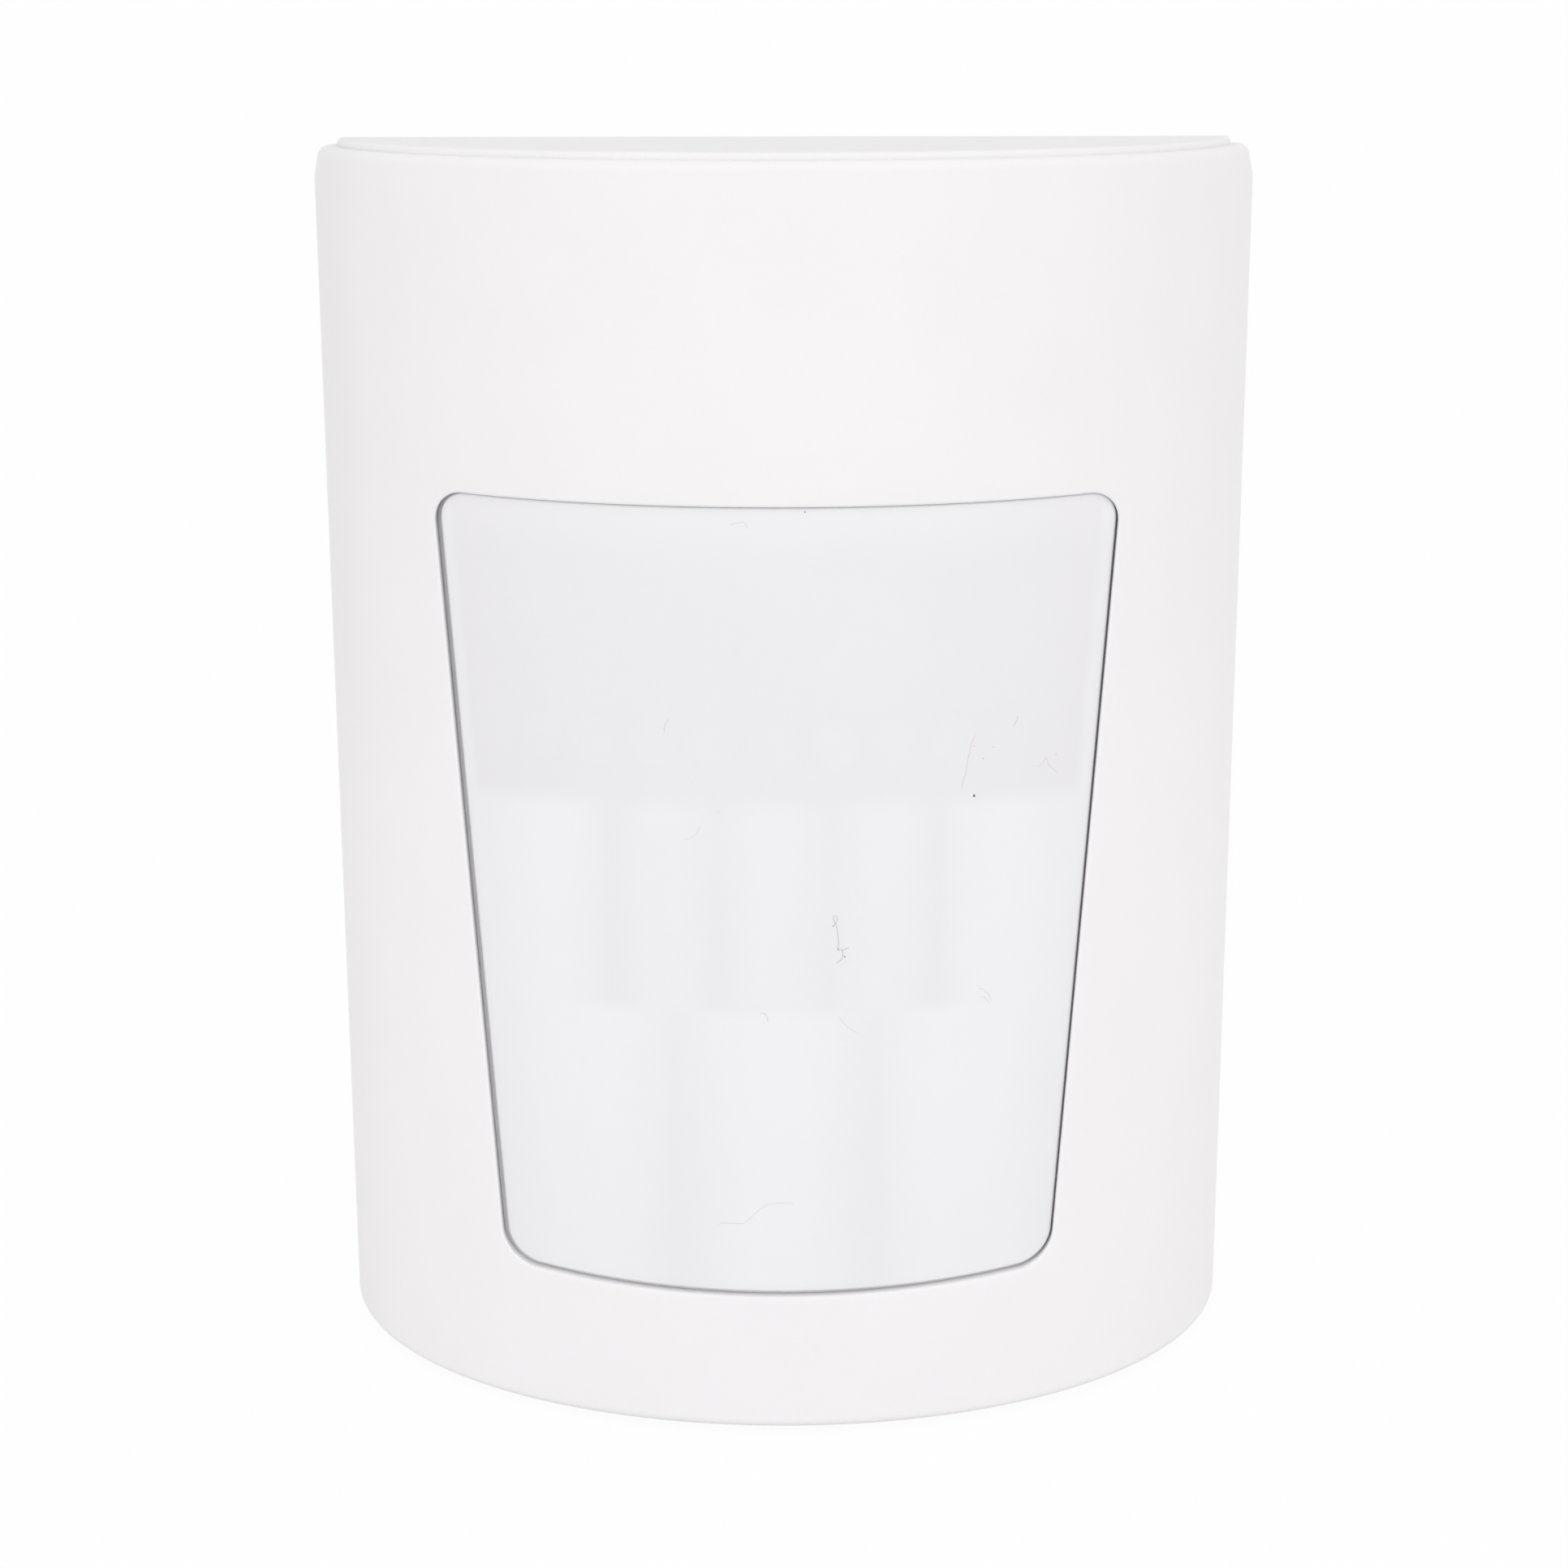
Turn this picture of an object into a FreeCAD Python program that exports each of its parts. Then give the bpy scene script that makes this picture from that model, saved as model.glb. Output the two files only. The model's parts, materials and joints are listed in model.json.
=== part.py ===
# Passive infrared motion detector for a wall, in millimetres.
# The back lies on the wall at y = 0, the lens looks towards -Y, and +Z is up.
# The origin is on the back face, midway between the two wall screw holes.
import FreeCAD
import Part
import math
import os

Vector = FreeCAD.Vector

# The cover is half of a drum that tapers towards the bottom
cover_height = 88.8
cover_radius_top = 35.0
cover_radius_bottom = 33.8
axis_behind_wall = 1.75
cover_wall = 1.6
rim_rounding = 0.3

# The window in the cover, by its distances from the rim, the foot and the cover's sides
window_top_below_rim = 23.0
window_bottom_above_foot = 10.34
window_side_margin_top = 10.67
window_side_margin_bottom = 14.35
window_bottom_bow = 0.55
window_corner_top = 2.1
window_corner_bottom = 2.6
window_lip_rounding = 0.25

# The lens: a thin pan in the window, with a flange behind the cover's wall
lens_gap = 0.32
lens_shift_across = 0.11
lens_shift_up = 0.16
lens_recess = 0.45
lens_sheet = 0.6
lens_skirt = 0.7
lens_edge_rounding = 0.2
lens_flange_width = 1.7
lens_flange_thickness = 0.7
lens_seat_clearance = 0.1

# The lens's rows of facets: lower edges below the rim, facets in each row and degrees to a facet
lens_row_bottoms = (43.0, 58.4)
lens_row_counts = (9, 5, 3)
lens_row_steps = (7.0, 13.1, 24.2)
facet_line_width = 0.25
facet_line_depth = 0.15

# The frame that holds the lens from behind
retainer_thickness = 1.4
retainer_border = 1.0
retainer_clearance = 0.08
retainer_ear_radius = 2.3
retainer_ear_spacing_top = 16.0
retainer_ear_spacing_bottom = 26.0
retainer_ear_overhang = 1.6
stud_radius = 0.9
stud_hole_clearance = 0.1
stud_projection = 1.0

# The rear case
case_clearance = 0.14
case_wall = 2.4
case_flange_wall = 1.4
case_flange_depth = 9.5
case_proud = 0.5
case_edge_rounding = 0.35
wall_hole_below_rim = 8.4
wall_hole_radius = 2.1
wall_hole_boss = 1.2
wall_hole_boss_wall = 2.2
knockout_radius = 2.1
knockout_skin = 0.5
knockout_across = 20.0
inlet_length = 11.0
inlet_width = 6.0
inlet_across = -13.5
inlet_lip = 1.1
inlet_lip_height = 1.2
rib_thickness = 1.2
rib_height = 2.6
gusset_count = 3
gusset_spacing = 26.0
gusset_reach = 7.0
gusset_length = 2.5

# The snap catches between the cover's sides and the case's flanges
catch_length = 6.0
catch_width = 2.4
catch_reach = 1.1
catch_depth = 5.2
catch_height_on_case = 18.0
catch_window_clearance = 0.35

# The screw that locks the cover from below
cover_screw_behind_front = 8.55
cover_screw_radius = 1.1
cover_screw_head_radius = 2.1
cover_screw_head_height = 1.1
cover_screw_length = 7.0
cover_screw_sink = 0.2
cover_boss_radius = 2.7
cover_boss_end_gap = 0.3
cover_boss_cap = 1.0
cover_boss_gap = 0.25
cover_boss_web = 1.4
screw_clearance = 0.1
driver_slot_width = 0.5
driver_slot_length = 2.0
driver_slot_depth = 0.6

# The circuit board and its posts
board_width = 50.0
board_end_margin = 13.9
board_thickness = 1.6
board_corner = 1.5
post_radius = 3.0
post_from_board_edge = 4.5
locating_pin_radius = 1.1
locating_pin_rise = 1.2
board_hole_clearance = 0.12
board_screw_radius = 1.15
board_screw_length = 5.0
board_screw_head_radius = 2.5
board_screw_head_height = 1.5

# The sensor, which looks at the lens from its focal length
focal_length = 17.66
sensor_up = 5.0
sensor_radius = 4.6
sensor_height = 4.2
sensor_flange_radius = 4.9
sensor_flange_height = 0.5
sensor_edge = 0.6
sensor_filter_width = 5.2
sensor_filter_height = 4.2
sensor_filter_thickness = 0.5
sensor_filter_clearance = 0.03
sensor_pin_radius = 0.25
sensor_pin_circle = 5.08
seal_clearance = 0.05
seal_wall = 1.5
seal_height = 3.2
seal_lip = 0.5

# Leads that go through the board
lead_below_board = 1.2
lead_hole_clearance = 0.08

# The terminal block, with its wire entries facing up to the cable inlet
terminal_count = 6
terminal_pitch = 3.81
terminal_across = -5.2
terminal_below_board_top = 0.7
terminal_body_depth = 7.6
terminal_body_height = 10.0
terminal_floor = 1.2
terminal_entry_width = 2.9
terminal_entry_height = 3.8
terminal_back_wall = 1.0
terminal_screw_hole_radius = 1.45
terminal_clamp_clearance = 0.06
terminal_clamp_wall = 0.5
terminal_clamp_setback = 1.2
terminal_screw_head_radius = 1.35
terminal_screw_head_height = 1.4
terminal_screw_radius = 0.75
terminal_screw_reach = 2.2
terminal_pin_width = 0.9
terminal_pin_thickness = 0.6

# The tamper switch and the cover's post that presses it
tamper_across = 14.3
tamper_below_board_top = 3.9
tamper_body = 6.0
tamper_body_height = 4.5
tamper_button_radius = 1.5
tamper_button_clearance = 0.08
tamper_button_length = 3.2
tamper_button_out = 1.1
tamper_travel_in = 0.4
tamper_bore_end_gap = 0.3
tamper_post_radius = 1.8
tamper_post_gap = 0.05
tamper_pin_spacing = 4.5

# The relay
relay_across = -13.0
relay_above_board_foot = 12.0
relay_length = 15.0
relay_width = 7.4
relay_height = 8.6
relay_rounding = 0.5
relay_pin_rows = (-5.08, 0.0, 2.54, 5.08)
relay_pin_spacing = 5.08

# The two capacitors, as across, up, radius and height
large_capacitor_place = (17.5, 8.5)
large_capacitor_size = (3.15, 7.0)
small_capacitor_place = (17.0, -6.5)
small_capacitor_size = (2.5, 6.0)
capacitor_groove = 0.25
capacitor_crimp_height = 1.3
capacitor_lead_radius = 0.25
capacitor_lead_spacing = 2.0

# The indicator lamp
lamp_across = 0.0
lamp_above_rows = 5.5
lamp_radius = 1.5
lamp_flange_radius = 1.85
lamp_flange_height = 0.9
lamp_height = 3.4
lamp_lead_spacing = 1.27
lamp_lead_radius = 0.25

# The settings header
header_across = 10.0
header_above_board_foot = 8.5
header_pitch = 2.54
header_pin_count = 3
header_base_height = 2.5
header_base_width = 2.4
header_pin_width = 0.64
header_pin_height = 8.4
cap_height = 6.0
cap_width = 2.4
cap_hole_clearance = 0.04
cap_wall_clearance = 0.02
cap_end_gap = 0.1

# Surface-mounted chips, as across and up on the board, and the rows as their first place across and step
chip_lift = 0.1
microcontroller_place = (-15.5, 8.0)
amplifier_place = (-13.5, -5.5)
microcontroller_side_lead_count = 7
amplifier_side_lead_count = 4
chip_pitch = 1.27
chip_body_width = 3.9
chip_body_height = 1.45
chip_end = 0.6
chip_lead_width = 0.4
chip_lead_thickness = 0.2
chip_lead_reach = 1.05
chip_lead_foot = 0.55
regulator_across = 3.5
regulator_above_board_foot = 8.0
regulator_body = (4.5, 2.5, 1.5)
resistor_body = (1.6, 0.8, 0.45)
ceramic_body = (2.0, 1.25, 0.8)
diode_body = (4.3, 2.6, 2.1)
resistor_row = (-4.2, 2.2)
resistor_row_count = 5
ceramic_row = (7.2, 2.8)
ceramic_row_count = 3
row_above_board_foot = 15.5
second_row_drop = 2.2
diode_places = ((17.5, -14.5), (18.0, 15.0))

# Heights and depths that follow from the sizes above
rim_height = cover_height / 2
wall_hole_height = rim_height - wall_hole_below_rim
board_top = rim_height - board_end_margin
board_foot = -board_top
post_across = board_width / 2 - post_from_board_edge
post_up = board_top - post_from_board_edge
terminal_top = board_top - terminal_below_board_top
terminal_up = terminal_top - terminal_body_depth
tamper_up = board_top - tamper_below_board_top
relay_up = board_foot + relay_above_board_foot
header_up = board_foot + header_above_board_foot
row_up = board_foot + row_above_board_foot
lamp_up = row_up + lamp_above_rows
regulator_place = (regulator_across, board_foot + regulator_above_board_foot)
case_top = rim_height + case_proud
case_bottom = -case_top
cover_screw_seat = case_bottom + cover_screw_sink + cover_screw_head_height
cover_screw_end = cover_screw_seat + cover_screw_length
cover_screw_depth = cover_radius_bottom - axis_behind_wall - cover_screw_behind_front
reach = 3 * cover_radius_top
cut_margin = 1.0


def outer_radius(height):
    """Radius of the cover's outside at a height."""
    share = (height + rim_height) / cover_height
    return cover_radius_bottom + (cover_radius_top - cover_radius_bottom) * share


def box(x_low, x_high, y_low, y_high, z_low, z_high):
    """Box between two corners."""
    size = (x_high - x_low, y_high - y_low, z_high - z_low)
    return Part.makeBox(*size, Vector(x_low, y_low, z_low))


def centred_box(across, up, width, height, y_low, y_high):
    """Box centred on a place of the board."""
    half = width / 2
    return box(across - half, across + half, y_low, y_high, up - height / 2, up + height / 2)


def rod(across, up, radius, y_start, y_end):
    """Round bar square to the wall."""
    start = Vector(across, max(y_start, y_end), up)
    return Part.makeCylinder(radius, abs(y_end - y_start), start, Vector(0, -1, 0))


def turned(across, up, y_seat, profile):
    """Turned piece that stands on y_seat and points to the front; the profile is (radius, height) points."""
    points = [Vector(radius, 0, height) for radius, height in profile]
    face = Part.Face(Part.makePolygon(points + [points[0]]))
    solid = face.revolve(Vector(), Vector(0, 0, 1), 360)
    solid.rotate(Vector(), Vector(1, 0, 0), 90)
    solid.translate(Vector(across, y_seat, up))
    return solid


def fuse(first, others):
    """One solid from touching ones."""
    whole = first.multiFuse(others) if others else first
    return whole.removeSplitter()


def behind_front(y_front, y_back):
    """Slab of space between two distances from the wall."""
    return box(-reach, reach, y_front, y_back, -reach, reach)


def drum(inset, low, high, behind_wall=0):
    """Half drum drawn in from the cover's outside, cut off at the wall or a little behind it."""
    radii = (outer_radius(low) - inset, outer_radius(high) - inset)
    profile = [Vector(0, 0, low), Vector(radii[0], 0, low), Vector(radii[1], 0, high), Vector(0, 0, high)]
    solid = Part.Face(Part.makePolygon(profile + profile[:1])).revolve(Vector(), Vector(0, 0, 1), 360)
    solid.translate(Vector(0, axis_behind_wall, 0))
    return solid.common(behind_front(-reach, behind_wall))


def drum_cutter(inset, low, high):
    """Drum that cuts cleanly through another one between two heights."""
    return drum(inset, low - cut_margin, high + cut_margin, cut_margin)


def shell(inset_from, inset_to, low, high):
    """Curved sheet between two distances inside the cover's outside."""
    return drum(inset_from, low, high).cut(drum_cutter(inset_to, low, high))


def inner_face(inset, across, height):
    """Y of the sheet at that inset, at a place across and a height."""
    radius = outer_radius(height) - inset
    return axis_behind_wall - math.sqrt(radius * radius - across * across)


board_front = inner_face(lens_recess + lens_sheet, 0, sensor_up) + focal_length + sensor_height
board_back = board_front + board_thickness


def rim_edges(solid):
    """Round edges of the cover's outside at the rim and the foot."""
    return [edge for edge in solid.Edges if edge.BoundBox.ZLength < 1e-4
            and abs(abs(edge.BoundBox.ZMin) - rim_height) < 1e-4 and hasattr(edge.Curve, "Radius")]


def front_edges(solid, inset):
    """Edges of the window's outline that lie on the sheet at that inset."""
    found = []
    for edge in solid.Edges:
        middle = edge.valueAt((edge.FirstParameter + edge.LastParameter) / 2)
        across_front = abs(middle.x) < window_half_width_top + 1 and middle.y < -axis_behind_wall
        in_height = window_bottom - 2 * window_bottom_bow < middle.z < window_top + 1
        if across_front and in_height and abs(middle.y - inner_face(inset, middle.x, middle.z)) < 1e-3:
            found.append(edge)
    return found


window_top = rim_height - window_top_below_rim
window_bottom = window_bottom_above_foot - rim_height
window_half_width_top = outer_radius(window_top) - window_side_margin_top
window_half_width_bottom = outer_radius(window_bottom) - window_side_margin_bottom
window_slope = (window_half_width_top - window_half_width_bottom) / (window_top - window_bottom)


def window_prism(grow, shift=(0.0, 0.0)):
    """Prism of the window's outline, grown all round, through the front of the cover."""
    widen = grow * math.hypot(1, window_slope)
    top = window_top + grow
    bottom = window_bottom - grow
    half_top = window_half_width_top + widen + grow * window_slope
    half_bottom = window_half_width_bottom + widen - grow * window_slope
    left_top = Vector(-half_top, 0, top)
    right_top = Vector(half_top, 0, top)
    left_bottom = Vector(-half_bottom, 0, bottom)
    right_bottom = Vector(half_bottom, 0, bottom)
    middle = Vector(0, 0, bottom - window_bottom_bow)
    bow = Part.Arc(left_bottom, middle, right_bottom).toShape()
    sides = [Part.makeLine(right_bottom, right_top), Part.makeLine(right_top, left_top)]
    outline = Part.Wire([bow] + sides + [Part.makeLine(left_top, left_bottom)])
    prism = Part.Face(outline).extrude(Vector(0, -reach, 0))
    along = [edge for edge in prism.Edges if abs(edge.BoundBox.YLength - reach) < 1e-3]
    upper = [edge for edge in along if edge.BoundBox.ZMin > 0]
    lower = [edge for edge in along if edge.BoundBox.ZMax < 0]
    prism = prism.makeFillet(window_corner_top + grow, upper)
    lower_now = [edge for edge in prism.Edges if any(edge.BoundBox.Center.distanceToPoint(
        other.BoundBox.Center) < 1e-3 for other in lower)]
    prism = prism.makeFillet(window_corner_bottom + grow, lower_now)
    prism.translate(Vector(shift[0], 0, shift[1]))
    return prism


lens_shift = (lens_shift_across, lens_shift_up)
flange_face = cover_wall + lens_seat_clearance
flange_back = flange_face + lens_flange_thickness
retainer_front = flange_back + retainer_clearance
retainer_back = retainer_front + retainer_thickness


def retainer_ears():
    """Centres of the retainer's four ears, above and below the window."""
    edge = lens_flange_width + retainer_border + retainer_ear_overhang
    heights = (window_top + edge, window_bottom - edge)
    spacings = (retainer_ear_spacing_top, retainer_ear_spacing_bottom)
    return [(side * spacing / 2, height) for height, spacing in zip(heights, spacings) for side in (-1, 1)]


def front_cover():
    """Half-drum sleeve with the window, and the studs, catches, boss and post moulded inside it."""
    outside = drum(0, -rim_height, rim_height)
    outside = outside.makeFillet(rim_rounding, rim_edges(outside))
    cover = outside.cut(drum_cutter(cover_wall, -rim_height, rim_height)).cut(window_prism(0))
    cover = cover.makeFillet(window_lip_rounding, front_edges(cover, 0))
    skin = drum(cover_wall / 2, -rim_height, rim_height)
    added = []
    for across, height in retainer_ears():
        wall = inner_face(cover_wall / 2, across, height)
        end = inner_face(retainer_back, across, height) + stud_projection
        added.append(rod(across, height, stud_radius, wall, end))
    for side in (-1, 1):
        for height in (-catch_height_on_case, catch_height_on_case):
            added.append(catch(side, height))
    added.append(screw_boss())
    wall = inner_face(cover_wall / 2, tamper_across, tamper_up)
    added.append(rod(tamper_across, tamper_up, tamper_post_radius, wall, tamper_post_end))
    return fuse(cover, [piece.common(skin) for piece in added])


def catch(side, height):
    """Wedge on the cover's inside that snaps into a window of the case's flange."""
    y_front = -catch_depth - catch_width / 2
    y_back = -catch_depth + catch_width / 2
    y_middle = (y_front + y_back) / 2
    wall = math.sqrt((outer_radius(height) - cover_wall) ** 2 - (axis_behind_wall - y_middle) ** 2)
    root = wall + cover_wall / 2
    profile = [(root, y_front), (wall - catch_reach, y_front), (wall - case_clearance, y_back), (root, y_back)]
    points = [Vector(side * across, y, 0) for across, y in profile]
    wedge = Part.Face(Part.makePolygon(points + points[:1])).extrude(Vector(0, 0, catch_length))
    wedge.translate(Vector(0, 0, height - catch_length / 2))
    return wedge


def screw_boss():
    """Boss at the cover's lower front that takes the locking screw, on a web from the wall."""
    foot = case_bottom + case_wall + cover_boss_gap
    bore_depth = cover_screw_end + cover_boss_end_gap - foot
    start = Vector(0, -cover_screw_depth, foot)
    boss = Part.makeCylinder(cover_boss_radius, bore_depth + cover_boss_cap, start)
    front = inner_face(cover_wall / 2, 0, foot)
    web = box(-cover_boss_web, cover_boss_web, front, -cover_screw_depth, foot, foot + 2 * cover_boss_web)
    bore = Part.makeCylinder(cover_screw_radius + screw_clearance, bore_depth, start)
    return boss.fuse(web).cut(bore)


def facet_bounds():
    """Each row's upper and lower height and the angles between its facets."""
    heights = [window_top - lens_gap] + [rim_height - drop for drop in lens_row_bottoms]
    heights.append(window_bottom - window_bottom_bow + lens_gap)
    rows = []
    for row, (count, step) in enumerate(zip(lens_row_counts, lens_row_steps)):
        angles = [(index - count / 2) * step for index in range(count + 1)]
        rows.append((heights[row], heights[row + 1], angles))
    return rows


def facet_lines():
    """Bars that cut the straight grooves between facets and between rows."""
    lines = []
    half = facet_line_width / 2
    for upper, lower, angles in facet_bounds():
        for angle in angles:
            lines.append(radial(box(-half, half, -reach, 0, lower, upper), angle))
    for upper, lower, angles in facet_bounds()[1:]:
        lines.append(box(-reach, reach, -reach, 0, upper - half, upper + half))
    return lines


def radial(piece, angle):
    """Turn a piece round the drum's axis."""
    piece.rotate(Vector(), Vector(0, 0, 1), angle)
    piece.translate(Vector(0, axis_behind_wall, 0))
    return piece


def fresnel_lens():
    """Shallow pan: thin sheet in the window, a skirt, and a flange behind the cover."""
    low = window_bottom - 4 * lens_flange_width
    high = window_top + 4 * lens_flange_width
    pan = window_prism(-lens_gap, lens_shift).common(shell(lens_recess, flange_back, low, high))
    pan = pan.makeFillet(lens_edge_rounding, front_edges(pan, lens_recess))
    flange = window_prism(lens_flange_width, lens_shift).common(shell(flange_face, flange_back, low, high))
    sheet_back = lens_recess + lens_sheet
    hollow = window_prism(-lens_gap - lens_skirt, lens_shift)
    hollow = hollow.common(shell(sheet_back, flange_back + cut_margin, low, high))
    lens = fuse(pan, [flange]).cut(hollow)
    lines = facet_lines()
    inside = window_prism(-lens_gap - 2 * lens_skirt, lens_shift)
    inside = inside.common(shell(sheet_back - facet_line_depth, sheet_back + facet_line_depth, low, high))
    return lens.cut(lines[0].multiFuse(lines[1:]).common(inside))


def lens_retainer():
    """Frame behind the lens flange, held by the cover's studs through its ears."""
    low = window_bottom - 6 * retainer_ear_radius
    high = window_top + 6 * retainer_ear_radius
    frame = window_prism(lens_flange_width + retainer_border)
    ears = []
    holes = []
    for across, height in retainer_ears():
        ears.append(rod(across, height, retainer_ear_radius, 0, -reach))
        inward = -1 if height > 0 else 1
        inner = height + inward * (retainer_ear_overhang + 2 * retainer_border)
        ears.append(box(across - retainer_ear_radius, across + retainer_ear_radius, -reach, 0,
                        min(height, inner), max(height, inner)))
        holes.append(rod(across, height, stud_radius + stud_hole_clearance, 0, -reach))
    frame = frame.multiFuse(ears).common(shell(retainer_front, retainer_back, low, high))
    return frame.cut(window_prism(-lens_gap - lens_skirt)).cut(holes[0].multiFuse(holes[1:]))


def case_outline(inset, low, high):
    """Half drum that fits inside the cover, at an inset from the cover's inside."""
    return drum(cover_wall + case_clearance + inset, low, high)


def rear_case():
    """Back plate, side flanges and D-shaped end walls in one moulding."""
    body = case_outline(0, case_bottom, case_top)
    edges = [edge for edge in body.Edges if edge.BoundBox.ZLength < 1e-4
             and abs(abs(edge.BoundBox.ZMin) - case_top) < 1e-4]
    body = body.makeFillet(case_edge_rounding, edges)
    hollow = case_outline(case_flange_wall, case_bottom + case_wall, case_top - case_wall)
    body = body.cut(hollow.common(behind_front(-reach, -case_wall)))
    front = box(-reach, reach, -reach, -case_flange_depth, case_bottom + case_wall, case_top - case_wall)
    body = body.cut(front)
    skin = case_outline(case_flange_wall / 2, case_bottom, case_top)
    body = fuse(body, [piece.common(skin) for piece in case_ribs() + case_posts()])
    return body.cut(case_holes())


def case_ribs():
    """Stiffening ribs on the back plate and gussets under the end walls."""
    foot = -case_wall / 2
    ribs = []
    end = post_up - post_radius / 2
    for across in (-post_across, 0, post_across):
        ribs.append(box(across - rib_thickness / 2, across + rib_thickness / 2, -case_wall - rib_height, foot,
                        -end, end))
    for height in (-end / 2, end / 2):
        ribs.append(box(-post_across, post_across, -case_wall - rib_height, foot, height - rib_thickness / 2,
                        height + rib_thickness / 2))
    for index in range(gusset_count):
        across = (index - (gusset_count - 1) / 2) * gusset_spacing
        for side in (-1, 1):
            inner = case_top - case_wall
            in_wall = side * (inner + case_wall / 2)
            toe = side * (inner - gusset_length)
            points = [Vector(0, foot, in_wall), Vector(0, -case_wall - gusset_reach, in_wall),
                      Vector(0, -case_wall - gusset_reach, side * inner), Vector(0, -case_wall, toe),
                      Vector(0, foot, toe)]
            gusset = Part.Face(Part.makePolygon(points + points[:1])).extrude(Vector(rib_thickness, 0, 0))
            gusset.translate(Vector(across - rib_thickness / 2, 0, 0))
            if abs(across) > wall_hole_radius + wall_hole_boss_wall:
                ribs.append(gusset)
    return ribs


def board_places():
    """Places of the four posts: two take screws, two have locating pins."""
    screws = [(-post_across, post_up), (post_across, -post_up)]
    pins = [(post_across, post_up), (-post_across, -post_up)]
    return screws, pins


def case_posts():
    """Posts that carry the board, raised rings round the wall holes, and the lip round the inlet."""
    screws, pins = board_places()
    posts = [rod(across, up, post_radius, -case_wall / 2, board_back) for across, up in screws + pins]
    posts += [rod(across, up, locating_pin_radius, -case_wall, board_front - locating_pin_rise)
              for across, up in pins]
    for side in (-1, 1):
        posts.append(rod(0, side * wall_hole_height, wall_hole_radius + wall_hole_boss_wall, -case_wall / 2,
                         -case_wall - wall_hole_boss))
    posts.append(inlet_slot(inlet_lip, -case_wall / 2, -case_wall - inlet_lip_height))
    return posts


def inlet_slot(grow, y_start, y_end):
    """Long slot with round ends for the cable."""
    half = (inlet_length - inlet_width) / 2
    radius = inlet_width / 2 + grow
    ends = [rod(inlet_across + side * half, wall_hole_height, radius, y_start, y_end) for side in (-1, 1)]
    middle = centred_box(inlet_across, wall_hole_height, 2 * half, 2 * radius, y_end, y_start)
    return fuse(middle, ends)


def case_holes():
    """Wall screw holes, knock-outs, cable inlet, post holes, catch windows and the cover screw's seat."""
    screws, pins = board_places()
    through_plate = -case_wall - cut_margin
    cuts = [rod(0, side * wall_hole_height, wall_hole_radius, cut_margin, through_plate - wall_hole_boss)
            for side in (-1, 1)]
    for side in (-1, 1):
        cuts.append(rod(side * knockout_across, -wall_hole_height, knockout_radius, -knockout_skin,
                        through_plate))
    cuts.append(rod(knockout_across, wall_hole_height, knockout_radius, -knockout_skin, through_plate))
    cuts.append(inlet_slot(0, cut_margin, through_plate - inlet_lip_height))
    for across, up in screws:
        cuts.append(rod(across, up, board_screw_radius + screw_clearance, board_back + board_screw_length,
                        board_back - cut_margin))
    gap = catch_window_clearance
    for side in (-1, 1):
        for height in (-catch_height_on_case, catch_height_on_case):
            near = outer_radius(height) / 2
            cuts.append(box(min(side * near, side * reach), max(side * near, side * reach),
                            -catch_depth - catch_width / 2 - gap, -catch_depth + catch_width / 2 + gap,
                            height - catch_length / 2 - gap, height + catch_length / 2 + gap))
    deep = cover_screw_head_height + cover_screw_sink
    seat = Part.makeCylinder(cover_screw_head_radius + 2 * screw_clearance, deep + cut_margin,
                             Vector(0, -cover_screw_depth, case_bottom - cut_margin))
    through = Part.makeCylinder(cover_screw_radius + 2 * screw_clearance, 2 * case_wall,
                                Vector(0, -cover_screw_depth, case_bottom))
    return cuts[0].multiFuse(cuts[1:] + [seat, through])


def slotted(head, across, up, y_face):
    """Cut a driver slot into a head that faces the front."""
    slot = centred_box(across, up, driver_slot_length, driver_slot_width, y_face, y_face + driver_slot_depth)
    return head.cut(slot)


def cover_screw():
    """Pan-head screw that goes up through the bottom wall into the cover's boss."""
    seat = cover_screw_seat
    centre = Vector(0, -cover_screw_depth, seat - cover_screw_head_height)
    head = Part.makeCylinder(cover_screw_head_radius, cover_screw_head_height, centre)
    shank = Part.makeCylinder(cover_screw_radius, cover_screw_length, Vector(0, -cover_screw_depth, seat))
    half = driver_slot_length / 2
    slots = []
    for length, width in ((half, driver_slot_width / 2), (driver_slot_width / 2, half)):
        slots.append(box(-length, length, -cover_screw_depth - width, -cover_screw_depth + width,
                         centre.z - cut_margin, centre.z + driver_slot_depth))
    return fuse(head, [shank]).cut(slots[0].fuse(slots[1]))


def board_screw(across, up):
    """Pan-head screw in a post."""
    head_top = board_front - board_screw_head_height
    head = rod(across, up, board_screw_head_radius, board_front, head_top)
    head = head.makeFillet(board_screw_head_height / 3, [edge for edge in head.Edges
                                                        if abs(edge.BoundBox.YMin - head_top) < 1e-4
                                                        and edge.BoundBox.YLength < 1e-4])
    shank = rod(across, up, board_screw_radius, board_front, board_back + board_screw_length - screw_clearance)
    screw = slotted(fuse(head, [shank]), across, up, head_top)
    return screw.cut(centred_box(across, up, driver_slot_width, driver_slot_length, head_top,
                                 head_top + driver_slot_depth))


def round_lead(across, up, radius, y_top):
    """Round lead from a component down through the board."""
    return rod(across, up, radius, board_back + lead_below_board, y_top)


def sensor_pins():
    """Three leads of the sensor on their circle."""
    radius = sensor_pin_circle / 2
    places = [(radius, sensor_up), (0, sensor_up + radius), (-radius, sensor_up)]
    return [round_lead(across, up, sensor_pin_radius, board_front) for across, up in places]


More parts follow.
